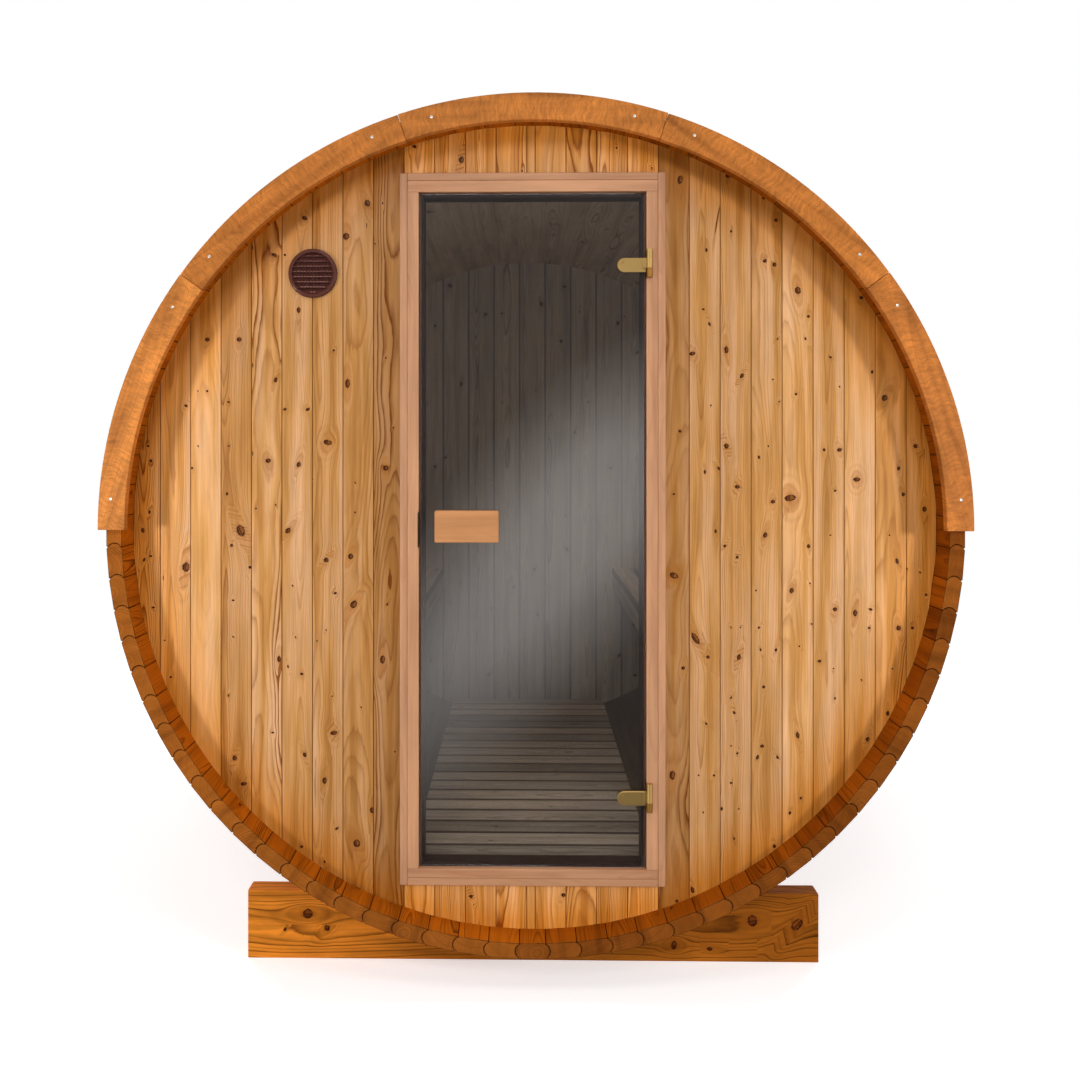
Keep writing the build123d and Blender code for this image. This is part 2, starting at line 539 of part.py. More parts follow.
# ---- hinges -----------------------------------------------------------------
for place, height in HINGE_HEIGHTS.items():
    middle = AXIS_HEIGHT + height
    bottom = middle - KNUCKLE_HEIGHT / 2
    split_z = bottom + FRAME_KNUCKLE_HEIGHT
    pin_plane = Plane((PIN_X, PIN_Y, bottom))

    with BuildPart() as frame_leaf:
        leaf_low = (CLEAR_HALF, FRAME_FRONT_Y + LEAF_SETBACK, bottom)
        leaf_high = (
            CLEAR_HALF + LEAF_THICKNESS,
            FRAME_FRONT_Y + LEAF_SETBACK + LEAF_DEPTH,
            bottom + KNUCKLE_HEIGHT,
        )
        add(box_between(leaf_low, leaf_high))
        neck_low = (CLEAR_HALF, PIN_Y, bottom)
        add(box_between(neck_low, (leaf_high[0], leaf_low[1], split_z)))
        add(cylinder_on(pin_plane, KNUCKLE_DIAMETER / 2, FRAME_KNUCKLE_HEIGHT))
        add(cylinder_on(pin_plane, PIN_DIAMETER / 2, FRAME_KNUCKLE_HEIGHT + PIN_LENGTH))
    write(f"hinge_{place}_frame", frame_leaf.part)

    with BuildPart() as glass_clamp:
        clamp_z = middle - CLAMP_DROP
        knuckle_z = split_z + KNUCKLE_GAP
        knuckle_height = bottom + KNUCKLE_HEIGHT - knuckle_z
        for y_from, thickness, right in (
            (GLASS_FRONT_Y - CLAMP_FRONT, CLAMP_FRONT, CLAMP_RIGHT),
            (GLASS_BACK_Y, CLAMP_BACK, CLEAR_HALF - STOP_WIDTH - CLAMP_STOP_GAP),
        ):
            # local y points down on this plane; the clamp is the same above and below its middle
            face = Plane((CLAMP_BOLT_X, y_from, clamp_z), x_dir=(1, 0, 0), z_dir=(0, 1, 0))
            with BuildSketch(face) as outline:
                Circle(CLAMP_HEIGHT / 2)
                with Locations(((right - CLAMP_BOLT_X) / 2, 0)):
                    Rectangle(right - CLAMP_BOLT_X, CLAMP_HEIGHT)
            extrude(amount=thickness)
        front = glass_clamp.faces().sort_by(Axis.Y)[0]
        chamfer(front.edges(), CLAMP_EDGE)
        bolt_plane = Plane((CLAMP_BOLT_X, GLASS_FRONT_Y, clamp_z), x_dir=(1, 0, 0), z_dir=(0, 1, 0))
        add(cylinder_on(bolt_plane, BOLT_DIAMETER / 2, GLASS_THICKNESS))
        web_low = (CLAMP_RIGHT - CLAMP_TO_KNUCKLE, PIN_Y, knuckle_z)
        web_high = (PIN_X, FRAME_FRONT_Y - KNUCKLE_STANDOFF, clamp_z + CLAMP_HEIGHT / 2 - CLAMP_EDGE)
        add(box_between(web_low, web_high))
        knuckle_plane = pin_plane.offset(knuckle_z - bottom)
        add(cylinder_on(knuckle_plane, KNUCKLE_DIAMETER / 2, knuckle_height))
        add(
            cylinder_on(knuckle_plane, PIN_DIAMETER / 2 + PIN_CLEARANCE, PIN_LENGTH),
            mode=Mode.SUBTRACT,
        )
    write(f"hinge_{place}_clamp", glass_clamp.part)

# ---- roller catch -----------------------------------------------------------
with BuildPart() as roller_catch:
    catch_middle = AXIS_HEIGHT + CATCH_Z
    low = (
        -CLEAR_HALF - CATCH_THICKNESS,
        ROLLER_Y - CATCH_DEPTH / 2,
        catch_middle - CATCH_HEIGHT / 2,
    )
    high = (-CLEAR_HALF, ROLLER_Y + CATCH_DEPTH / 2, catch_middle + CATCH_HEIGHT / 2)
    add(box_between(low, high))
    roller_plane = Plane((ROLLER_X, ROLLER_Y, catch_middle - ROLLER_HEIGHT / 2))
    add(cylinder_on(roller_plane, ROLLER_DIAMETER / 2, ROLLER_HEIGHT))
write("roller_catch", roller_catch.part)

# ---- vent -------------------------------------------------------------------
with BuildPart() as vent:
    vent_middle = AXIS_HEIGHT + VENT_Z
    bore = VENT_DIAMETER / 2 - VENT_RING
    vent_plane = Plane((VENT_X, WALL_FRONT_Y, vent_middle), x_dir=(1, 0, 0), z_dir=(0, -1, 0))
    with BuildSketch(vent_plane):
        Circle(VENT_DIAMETER / 2)
    extrude(amount=VENT_DEPTH)
    fillet(vent.faces().sort_by(Axis.Y)[0].edges(), VENT_RING / 2)
    with BuildSketch(vent_plane.offset(VENT_BACK)):
        Circle(bore)
    extrude(amount=VENT_DEPTH, mode=Mode.SUBTRACT)
    louvre_pitch = 2 * bore / LOUVRE_COUNT
    for row in range(LOUVRE_COUNT):
        rise = (row + 0.5) * louvre_pitch - bore
        length = 2 * (sqrt(bore**2 - rise**2) + VENT_RING / 4)
        centre = (VENT_X, WALL_FRONT_Y - (VENT_BACK + VENT_DEPTH) / 2 + 1, vent_middle + rise)
        with Locations(Location(centre, (LOUVRE_TILT, 0, 0))):
            Box(length, LOUVRE_DEPTH, LOUVRE_THICKNESS)
write("vent", vent.part)

# ---- floor ------------------------------------------------------------------
FLOOR_SLAT_PITCH = FLOOR_SLAT_WIDTH + FLOOR_SLAT_GAP
FLOOR_SLAT_COUNT = int((INSIDE_LENGTH + FLOOR_SLAT_GAP) // FLOOR_SLAT_PITCH)
FLOOR_Z = AXIS_HEIGHT + FLOOR_TOP

with BuildPart() as floor_slats:
    with BuildSketch(Plane.XY.offset(FLOOR_Z - FLOOR_SLAT_THICKNESS)):
        with GridLocations(0, FLOOR_SLAT_PITCH, 1, FLOOR_SLAT_COUNT):
            Rectangle(FLOOR_WIDTH, FLOOR_SLAT_WIDTH)
    extrude(amount=FLOOR_SLAT_THICKNESS)
    top_edges = floor_slats.edges().group_by(Axis.Z)[-1]
    chamfer(top_edges.filter_by(Axis.X), SLAT_CHAMFER)
write("floor_slats", floor_slats.part)

with BuildPart() as floor_bearers:
    bearer_length = FLOOR_SLAT_COUNT * FLOOR_SLAT_PITCH - FLOOR_SLAT_GAP
    with BuildSketch(Plane.XY.offset(FLOOR_Z - FLOOR_SLAT_THICKNESS)):
        with GridLocations(FLOOR_BEARER_X, 0, 3, 1):
            Rectangle(FLOOR_BEARER_WIDTH, bearer_length)
    extrude(amount=-(INNER_APOTHEM + FLOOR_TOP - FLOOR_SLAT_THICKNESS))
    add(along_barrel(INSIDE_RADIUS, -RIM_Y, BARREL_LENGTH), mode=Mode.INTERSECT)
write("floor_bearers", floor_bearers.part)

# ---- benches ----------------------------------------------------------------
BENCH_Z = AXIS_HEIGHT + BENCH_TOP
BENCH_UNDER = BENCH_Z - BENCH_SLAT_THICKNESS
BENCH_LENGTH = INSIDE_LENGTH - 2 * INSIDE_GAP
BENCH_SLAT_PITCH = BENCH_SLAT_WIDTH + BENCH_SLAT_GAP

with BuildPart() as bench_slats_right:
    for n in range(BENCH_SLAT_COUNT):
        slat_x = BENCH_FRONT + BENCH_SLAT_WIDTH / 2 + n * BENCH_SLAT_PITCH
        with BuildSketch(Plane.XY.offset(BENCH_UNDER)):
            with Locations((slat_x, 0)):
                Rectangle(BENCH_SLAT_WIDTH, BENCH_LENGTH)
        extrude(amount=BENCH_SLAT_THICKNESS)
    top_edges = bench_slats_right.edges().group_by(Axis.Z)[-1]
    chamfer(top_edges.filter_by(Axis.Y), SLAT_CHAMFER)
    add(along_barrel(INSIDE_RADIUS, -RIM_Y, BARREL_LENGTH), mode=Mode.INTERSECT)

with BuildPart() as bench_fascia_right:
    low = (BENCH_FRONT, -BENCH_LENGTH / 2, BENCH_UNDER - FASCIA_HEIGHT)
    add(box_between(low, (BENCH_FRONT + FASCIA_THICKNESS, BENCH_LENGTH / 2, BENCH_UNDER)))

with BuildPart() as bench_bearers_right:
    bearer_x = BENCH_FRONT + FASCIA_THICKNESS + INSIDE_GAP
    last_y = (BENCH_LENGTH - BENCH_BEARER_WIDTH) / 2
    for y_middle in (-last_y, 0, last_y):
        low = (bearer_x, y_middle - BENCH_BEARER_WIDTH / 2, BENCH_UNDER - BENCH_BEARER_HEIGHT)
        add(box_between(low, (INNER_APOTHEM, y_middle + BENCH_BEARER_WIDTH / 2, BENCH_UNDER)))
    add(along_barrel(INSIDE_RADIUS, -RIM_Y, BARREL_LENGTH), mode=Mode.INTERSECT)

for name, piece in (
    ("bench_slats", bench_slats_right),
    ("bench_fascia", bench_fascia_right),
    ("bench_bearers", bench_bearers_right),
):
    write(f"{name}_right", piece.part)
    with BuildPart() as other_side:
        mirror(piece.part, about=Plane.YZ)
    write(f"{name}_left", other_side.part)
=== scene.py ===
"""Looks of a barrel sauna: boards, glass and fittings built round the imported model, and a plain studio."""

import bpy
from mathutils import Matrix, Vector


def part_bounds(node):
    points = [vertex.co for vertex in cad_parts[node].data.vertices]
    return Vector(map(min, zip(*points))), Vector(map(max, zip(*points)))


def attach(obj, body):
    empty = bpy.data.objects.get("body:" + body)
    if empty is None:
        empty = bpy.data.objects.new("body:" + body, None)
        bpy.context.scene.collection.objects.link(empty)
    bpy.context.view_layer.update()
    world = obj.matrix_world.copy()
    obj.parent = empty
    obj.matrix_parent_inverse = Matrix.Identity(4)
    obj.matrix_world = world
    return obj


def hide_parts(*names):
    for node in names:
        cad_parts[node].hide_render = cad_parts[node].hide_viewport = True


bl_info = {
    "name": "Barrel Sauna Looks",
    "version": (1, 0, 0),
    "blender": (4, 5, 0),
    "location": "View3D > Sidebar > Sauna",
    "description": "Builds the visible timber, glass and metal of a barrel sauna and its studio",
    "category": "Object",
}

import math
import random

import bmesh
import bpy
import numpy as np
from mathutils import Vector

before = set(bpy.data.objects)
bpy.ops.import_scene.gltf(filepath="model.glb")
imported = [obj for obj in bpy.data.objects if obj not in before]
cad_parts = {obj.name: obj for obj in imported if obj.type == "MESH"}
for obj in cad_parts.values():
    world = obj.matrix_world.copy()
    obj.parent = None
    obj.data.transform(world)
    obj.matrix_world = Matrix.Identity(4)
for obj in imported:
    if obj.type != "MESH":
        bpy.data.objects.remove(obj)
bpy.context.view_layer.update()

QUARTERS = ("underside", "lower_side", "upper_side", "roof")
NO_KNOT = (9.0, 9.0, 0.0)  # too far off to show, and of no size
KNOT_SHARE = 0.86  # of its listed radius that a knot's heart takes up
WHITE = (1.0, 1.0, 1.0)

# The barrel's own sizes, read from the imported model.
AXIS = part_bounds("trim_front")[0].z
RIM_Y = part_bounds("stave_bottom")[1].y
OUTER_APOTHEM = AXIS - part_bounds("stave_bottom")[0].z
INNER_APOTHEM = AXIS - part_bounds("stave_bottom")[1].z
WALL_OUTSIDE = -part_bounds("front_wall_left")[0].y
WALL_INSIDE = -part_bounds("front_wall_left")[1].y
DOORWAY = (
    -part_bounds("front_wall_left")[1].x,
    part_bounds("front_wall_under_door")[1].z,
    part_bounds("front_wall_over_door")[0].z,
)


def display(red, green, blue):
    """The linear colour of a display colour given in parts of 255."""
    return tuple(((c / 255 + 0.055) / 1.055) ** 2.4 for c in (red, green, blue))


# ---- what a user would change
def colour(name, red, green, blue):
    return bpy.props.FloatVectorProperty(
        name=name,
        description=f"{name} of the sauna",
        subtype="COLOR",
        size=3,
        min=0.0,
        max=1.0,
        default=display(red, green, blue),
    )


def size(name, default, description):
    return bpy.props.FloatProperty(
        name=name, description=description, default=default, min=0.0, subtype="DISTANCE", unit="LENGTH"
    )


def level(name, default, description):
    return bpy.props.FloatProperty(name=name, description=description, default=default, min=0.0)


class SaunaColours(bpy.types.PropertyGroup):
    """Colours of the finishes."""

    wall_light: colour("Oiled wall, early wood", 212, 154, 86)
    wall_dark: colour("Oiled wall, late wood", 140, 76, 22)
    stave_light: colour("Stained stave, early wood", 176, 92, 12)
    stave_dark: colour("Stained stave, late wood", 78, 32, 2)
    end_light: colour("Stave end grain, early wood", 154, 88, 30)
    end_dark: colour("Stave end grain, late wood", 84, 38, 8)
    trim_light: colour("Stained trim, early wood", 212, 132, 60)
    trim_dark: colour("Stained trim, late wood", 146, 76, 22)
    cradle_light: colour("Stained cradle, early wood", 204, 124, 38)
    cradle_dark: colour("Stained cradle, late wood", 92, 46, 8)
    joinery_light: colour("Door frame, early wood", 196, 144, 106)
    joinery_dark: colour("Door frame, late wood", 164, 100, 62)
    handle_light: colour("Door handle, early wood", 192, 134, 86)
    handle_dark: colour("Door handle, late wood", 168, 102, 56)
    raw_light: colour("Bare inside timber, early wood", 214, 192, 162)
    raw_dark: colour("Bare inside timber, late wood", 146, 118, 92)
    knot: colour("Knots", 58, 27, 9)
    glass: colour("Glass tint", 138, 140, 145)
    brass: colour("Satin brass", 200, 142, 70)
    steel: colour("Hoop steel", 116, 118, 121)
    catch: colour("Catch plate", 70, 58, 46)
    vent: colour("Vent plastic", 100, 56, 47)


class SaunaSizes(bpy.types.PropertyGroup):
    """Sizes of what the boards are cut and eased to."""

    stave_count: bpy.props.IntProperty(
        name="Staves", description="Staves round the barrel", default=84, min=12
    )
    key_stave: size("Key stave", 0.0692, "Inner face of the bottom stave")
    bead: size("Bead", 0.012, "Height of the bead along a stave's edge")
    bead_land: size("Bead land", 0.002, "Flat left beside each bead")
    stave_gap: size("Stave gap", 0.0004, "Gap between neighbouring staves")
    stave_ease: size("Stave ease", 0.0016, "Easing of a stave's long edges and ends")
    board_pitch: size("Front board", 0.0833, "Width of a front wall board")
    filler: size("Closing strip", 0.0228, "Width of the narrow strip near the middle of the front wall")
    back_pitch: size("Back board", 0.1225, "Width of a back wall board")
    groove: size("Board groove", 0.0018, "Chamfer along a wall board's edges")
    crown: size("Board crown", 0.0009, "How far the middle of a wall board stands proud")
    timber_ease: size("Timber ease", 0.0018, "Easing of the edges of planed timber")
    metal_ease: size("Metal ease", 0.0006, "Easing of the edges of metal parts")


class SaunaStudio(bpy.types.PropertyGroup):
    """Levels of the studio's light."""

    key: level("Side softboxes", 11.0, "Power of each side light")
    top: level("Top softbox", 60.0, "Power of the light over the front")
    front: level("Front light", 90.0, "Power of the front light")
    rear: level("Rear lights", 150.0, "Power of each rear light")
    cabin: level("Cabin light", 3.9, "Power of the light inside the cabin")
    floor: level("Floor light", 1.35, "Power of the light on the cabin's floor")
    ambient: level("Ambient", 0.3, "Strength of the surrounding light")
    glow: level("Card glow", 1.85, "Brightest part of the reflected card")


# ---- shader graphs
class Graph:
    """Adds the nodes of one material, or of the world, and joins them."""

    def __init__(self, name, blocks="materials"):
        self.block = getattr(bpy.data, blocks).new(name)
        self.block.use_nodes = True
        self.tree = self.block.node_tree
        self.tree.nodes.clear()

    def feed(self, socket, value):
        if isinstance(value, bpy.types.NodeSocket):
            self.tree.links.new(value, socket)
        elif isinstance(value, (tuple, np.ndarray)) and len(value) == 3 and len(socket.default_value) == 4:
            socket.default_value = (*value, 1.0)
        else:
            socket.default_value = value

    def add(self, kind, sockets=None, **settings):
        node = self.tree.nodes.new("ShaderNode" + kind)
        for key, value in settings.items():
            setattr(node, key, value)
        for key, value in (sockets or {}).items():
            self.feed(node.inputs[key], value)
        return node

    def math(self, operation, *values, clamp=False):
        node = self.add("Math", operation=operation, use_clamp=clamp)
        for socket, value in zip(node.inputs, values):
            self.feed(socket, value)
        return node.outputs[0]

    def times(self, *values, clamp=False):
        return self.math("MULTIPLY", *values, clamp=clamp)

    def over(self, value, divisor):
        return self.math("DIVIDE", value, divisor)

    def less(self, value, taken):
        return self.math("SUBTRACT", value, taken)

    def line(self, value, slope, start, clamp=False):
        """value times slope, plus start."""
        return self.math("MULTIPLY_ADD", value, slope, start, clamp=clamp)

    def length(self, x, y):
        return self.math("SQRT", self.math("ADD", self.times(x, x), self.times(y, y)))

    def split(self, vector):
        return self.add("SeparateXYZ", {0: vector}).outputs

    def vector(self, x, y, z):
        return self.add("CombineXYZ", {0: x, 1: y, 2: z}).outputs[0]

    def stretch(self, vector, scale):
        node = self.add("VectorMath", {0: vector, 1: scale}, operation="MULTIPLY")
        return node.outputs[0]

    def noise(self, vector, detail=2.0, roughness=0.5, scale=1.0):
        sockets = {"Vector": vector, "Scale": scale, "Detail": detail, "Roughness": roughness}
        return self.add("TexNoise", sockets).outputs[0]

    def ramp(self, factor, *stops):
        """stops are (position, grey or colour)."""
        node = self.add("ValToRGB", {0: factor})
        elements = node.color_ramp.elements
        while len(elements) < len(stops):
            elements.new(0.5)
        for element, (position, value) in zip(elements, stops):
            element.position = position
            grey = (value,) * 3 if isinstance(value, float) else tuple(value)
            element.color = (*grey, 1.0)
        return node.outputs[0]

    def mix(self, factor, a, b, blend="MIX"):
        node = self.add("Mix", data_type="RGBA", blend_type=blend)
        for index, value in ((0, factor), (6, a), (7, b)):
            self.feed(node.inputs[index], value)
        return node.outputs[2]

    def around(self, value, spread):
        """Turns a factor round one half into a multiplier round one."""
        return self.line(self.less(value, 0.5), spread, 1.0)

    def scale(self, colour_socket, factor):
        node = self.add("VectorMath", {0: colour_socket, "Scale": factor}, operation="SCALE")
        return node.outputs[0]

    def finish(self, shader, output="OutputMaterial"):
        self.add(output, {"Surface": shader.outputs[0]})
        return self.block

    def surface(self, sockets):
        return self.finish(self.add("BsdfPrincipled", sockets))


def timber(
    name, pair, rough=0.5, pitch=0.0034, lines=1.0, fibre=0.12, ripple=0.0, pores=0.0, sheen=0.5,
    painted_sheen=0.0, cloudy=0.45, joint=0.005, painted_rim_shade=False,
):
    """Sawn timber in one of the colour pairs. Each board carries its place in its log, so rings
    run through faces and ends alike."""
    if name in bpy.data.materials:
        return bpy.data.materials[name]
    g = Graph(name)
    tints = bpy.context.scene.sauna_colours
    keys = (f"{pair}_light", f"{pair}_dark", "knot")
    light, dark, knot_dark = (np.array(getattr(tints, key)) for key in keys)
    place = g.add("Attribute", attribute_name="place").outputs["Vector"]
    along, across, depth = g.split(place)
    knot_x, knot_y, knot_r = g.split(g.add("Attribute", attribute_name="knot").outputs["Vector"])
    tone, figure, rim = g.split(g.add("Attribute", attribute_name="board").outputs["Vector"])

    # the grain parts round a knot, and trail is the way from it in knot radii, flattened along the grain
    reach = g.times(knot_r, 1.7)
    reach = g.times(reach, reach)
    flat_x = g.times(knot_x, 0.36)
    far = g.math("ADD", g.times(flat_x, flat_x), g.times(knot_y, knot_y))
    part = g.over(reach, g.math("MAXIMUM", g.math("MAXIMUM", far, reach), 1e-8))
    trail = g.over(g.math("SQRT", far), g.math("MAXIMUM", knot_r, 1e-4))
    part = g.times(part, g.ramp(g.times(trail, 0.1), (0.18, 1.0), (0.5, 0.0)))
    across = g.less(across, g.times(knot_y, part))

    # growth rings round a pith that wanders along the log
    slow = g.noise(g.vector(g.times(along, 1.3), g.times(across, 5.0), 0.0), 2.0, 0.4)
    sway = g.noise(g.vector(g.times(along, 2.3), 7.0, g.times(depth, 4.0)), 1.0)
    ragged = g.noise(g.stretch(place, (14.0, 120.0, 120.0)), 2.0)
    deep = g.line(slow, 0.06, depth)
    wide = g.line(sway, 0.03, across)
    year = g.over(g.line(ragged, 0.0016, g.length(deep, wide)), pitch)
    summer = ((0.0, 0.3), (0.1, 0.0), (0.5, 0.06), (0.8, 0.6), (0.93, 1.0), (1.0, 0.4))
    late = g.ramp(g.math("FRACT", year), *summer)
    season = g.add("TexWhiteNoise", {"W": g.math("FLOOR", year)}, noise_dimensions="1D").outputs["Value"]
    late = g.times(late, g.line(season, 1.1, 0.1))
    late = g.times(late, g.times(figure, lines), clamp=True)

    # broad bands of paler and of golden wood, fine strands, dark joint lines, a painted sheen on the paler
    # bands and a painted shade towards the rim
    bands = g.noise(g.vector(g.times(along, 1.4), g.times(across, 30.0), depth), 3.0, 0.5)
    cloud = g.noise(g.stretch(place, (5.0, 21.0, 21.0)), 3.0, 0.55)
    strands = g.noise(g.stretch(place, (6.0, 210.0, 210.0)), 4.0, 0.7)
    shade = g.times(g.around(strands, fibre * 3), g.around(cloud, cloudy))
    if ripple:
        bent = g.line(cloud, 0.05, along)
        curl = g.noise(g.vector(g.times(bent, 120.0), g.times(across, 26.0), depth), 4.0, 0.75)
        patch = g.noise(g.stretch(place, (9.0, 16.0, 16.0)), 2.0)
        shade = g.times(shade, g.times(g.around(curl, ripple), g.around(patch, ripple * 0.5)))
    if pores:
        shade = g.times(shade, g.around(g.noise(g.stretch(place, (60.0, 420.0, 420.0)), 2.0, 0.7), pores))
    shade = g.times(shade, tone)
    # painted sheen: the paler bands are whitened by a share of white that stands in for a varnish highlight
    pale = np.minimum(light * 1.18, 1.0) * (1.0 - painted_sheen) + painted_sheen * np.array((1.0, 0.9, 0.92))
    golden = 0.55 * light + 0.45 * dark
    wood = g.mix(g.ramp(bands, (0.42, 0.0), (0.66, 0.85)), light, pale)
    wood = g.mix(g.ramp(bands, (0.3, 0.85), (0.47, 0.0)), wood, golden)
    wood = g.mix(late, wood, dark)
    edge = g.ramp(g.line(rim, 1 / joint, 1.0, clamp=True), (0.68, 0.0), (0.9, 0.85))
    wood = g.mix(edge, wood, dark * 0.5)
    if painted_rim_shade:
        # painted shade: the wall is painted darker and more golden towards the rim, where it stands in its
        # groove and the staves and the trim shadow it
        x, _, z = g.split(g.add("TexCoord").outputs["Object"])
        out = g.over(g.length(x, g.less(z, AXIS)), INNER_APOTHEM)
        rim_shade_tint = g.ramp(g.line(cloud, 0.04, out), (0.88, WHITE), (1.01, (0.98, 0.74, 0.32)))
        wood = g.mix(1.0, wood, rim_shade_tint, "MULTIPLY")
    # a darker board is a warmer one; where its low tone is painted shade, this warmth is painted shade too
    wood = g.mix(1.0, wood, g.ramp(tone, (0.5, (1.0, 0.86, 0.66)), (0.95, WHITE)), "MULTIPLY")
    wood = g.scale(wood, shade)

    # the lines that swirl round a knot and the warm halo that trails off along the grain
    frayed = g.noise(g.vector(g.times(knot_x, 260.0), g.times(knot_y, 260.0), along), 3.0, 0.65)
    there = g.times(g.less(knot_r, 0.0015), 160.0, clamp=True)
    swirl = g.math("FRACT", g.line(frayed, 0.9, g.times(trail, 0.9)))
    swirl = g.ramp(swirl, (0.3, 0.0), (0.75, 1.0), (1.0, 0.1))
    near = g.ramp(g.times(trail, 0.1), (0.1, 0.5), (0.26, 0.16), (0.4, 0.0))
    wood = g.mix(g.times(g.times(swirl, there), near), wood, 0.3 * light + 0.7 * dark)
    trail = g.times(g.times(trail, g.around(frayed, 0.6)), 0.25)
    halo = g.times(g.ramp(trail, (0.0, 0.8), (0.24, 0.34), (0.42, 0.06), (0.7, 0.0)), there)
    wood = g.mix(halo, wood, 0.4 * light * (1.0, 0.8, 0.5) + 0.6 * dark)

    # the knot itself: small ones are dark through, large ones at their bark and where they have cracked
    sized = g.math("MAXIMUM", knot_r, 1e-4)
    core = g.times(g.over(g.length(knot_x, knot_y), sized), g.around(frayed, 0.8))
    big = g.times(g.less(knot_r, 0.004), 160.0, clamp=True)
    heart = g.mix(big, knot_dark * (2.3, 1.8, 1.1), knot_dark * 1.6 + light * (0.26, 0.18, 0.1))
    heart = g.scale(heart, g.around(g.noise(g.vector(core, frayed, knot_r), 2.0, scale=6.0), 1.1))
    lopsided = g.noise(g.vector(g.over(knot_x, sized), g.over(knot_y, sized), knot_r), 1.0, scale=0.9)
    bark = g.line(g.less(lopsided, 0.5), 1.5, core)
    bark = g.ramp(g.line(knot_r, -14.0, bark), (0.4, 0.0), (0.58, 1.0))
    crack = g.math("ABSOLUTE", g.over(g.line(frayed, 0.003, knot_y), sized))
    bark = g.math("MAXIMUM", bark, g.ramp(crack, (0.1, 0.9), (0.22, 0.0)))
    heart = g.mix(g.times(bark, 0.85), heart, knot_dark * (0.6, 0.4, 0.3))
    inside = g.ramp(core, (0.9, 1.0), (1.06, 0.0))
    wood = g.mix(inside, wood, heart)

    relief = g.line(late, -0.5, g.times(strands, 0.55))
    relief = g.line(inside, -0.6, relief)
    bump = g.add("Bump", {"Strength": 0.5, "Distance": 0.0006, "Height": relief}).outputs[0]
    roughness = g.line(strands, 0.2, rough - 0.1)
    return g.surface(
        {"Base Color": wood, "Roughness": roughness, "Normal": bump, "Specular IOR Level": sheen}
    )


def metal(name, tint, rough, streak, spots=0.1):
    """Brushed metal; streak is how fine the brushing is along each axis of the row frame. A finish that
    comes with the model under this name, as the hinges' brass and the hoops' steel do, is used as it is."""
    if name in bpy.data.materials:
        return bpy.data.materials[name]
    g = Graph(name)
    place = g.add("TexCoord").outputs["Object"]
    brushed = g.noise(g.stretch(place, streak), 2.0, 0.6)
    worn = g.noise(g.stretch(place, (30.0, 30.0, 30.0)), 3.0)
    shade = g.times(g.around(brushed, 0.3), g.around(worn, spots * 2))
    base = g.mix(worn, np.array(tint), np.array(tint) * 0.86)
    roughness = g.line(brushed, 0.2, g.line(worn, 0.16, rough - 0.18))
    bump = g.add("Bump", {"Strength": 0.25, "Distance": 0.0002, "Height": brushed}).outputs[0]
    return g.surface(
        {"Base Color": g.scale(base, shade), "Roughness": roughness, "Normal": bump, "Metallic": 1.0}
    )


def plastic(name, tint):
    """Glossy moulded plastic with a little dust."""
    g = Graph(name)
    place = g.add("TexCoord").outputs["Object"]
    mottled = g.noise(g.stretch(place, (45.0, 45.0, 45.0)), 3.0)
    fine = g.noise(g.stretch(place, (900.0, 900.0, 900.0)), 2.0)
    base = g.scale(g.mix(mottled, np.array(tint), np.array(tint) * 0.6), g.around(fine, 0.3))
    bump = g.add("Bump", {"Strength": 0.2, "Distance": 0.0002, "Height": fine}).outputs[0]
    return g.surface(
        {
            "Base Color": base,
            "Roughness": g.line(mottled, 0.2, 0.16),
            "Normal": bump,
            "Specular IOR Level": 0.15,
            "Coat Weight": 0.06,
            "Coat Roughness": 0.12,
        }
    )


def tinted_glass(name, tint):
    """Grey glass that lets the lamps through, with faint smears."""
    g = Graph(name)
    place = g.add("TexCoord").outputs["Object"]
    smear = g.noise(g.stretch(place, (3.0, 3.0, 1.6)), 3.0, 0.6)
    pane = g.add(
        "BsdfPrincipled",
        {
            "Base Color": tuple(tint),
            "Roughness": g.ramp(smear, (0.3, 0.0), (0.8, 0.012)),
            "IOR": 1.5,
            "Transmission Weight": 1.0,
            "Coat Weight": 1.0,
            "Coat Roughness": 0.0,
        },
    )
    clear = g.add("BsdfTransparent", {"Color": (0.95, 0.95, 0.95)})
    shadow = g.add("LightPath").outputs["Is Shadow Ray"]
    return g.finish(g.add("MixShader", {0: shadow, 1: pane.outputs[0], 2: clear.outputs[0]}))


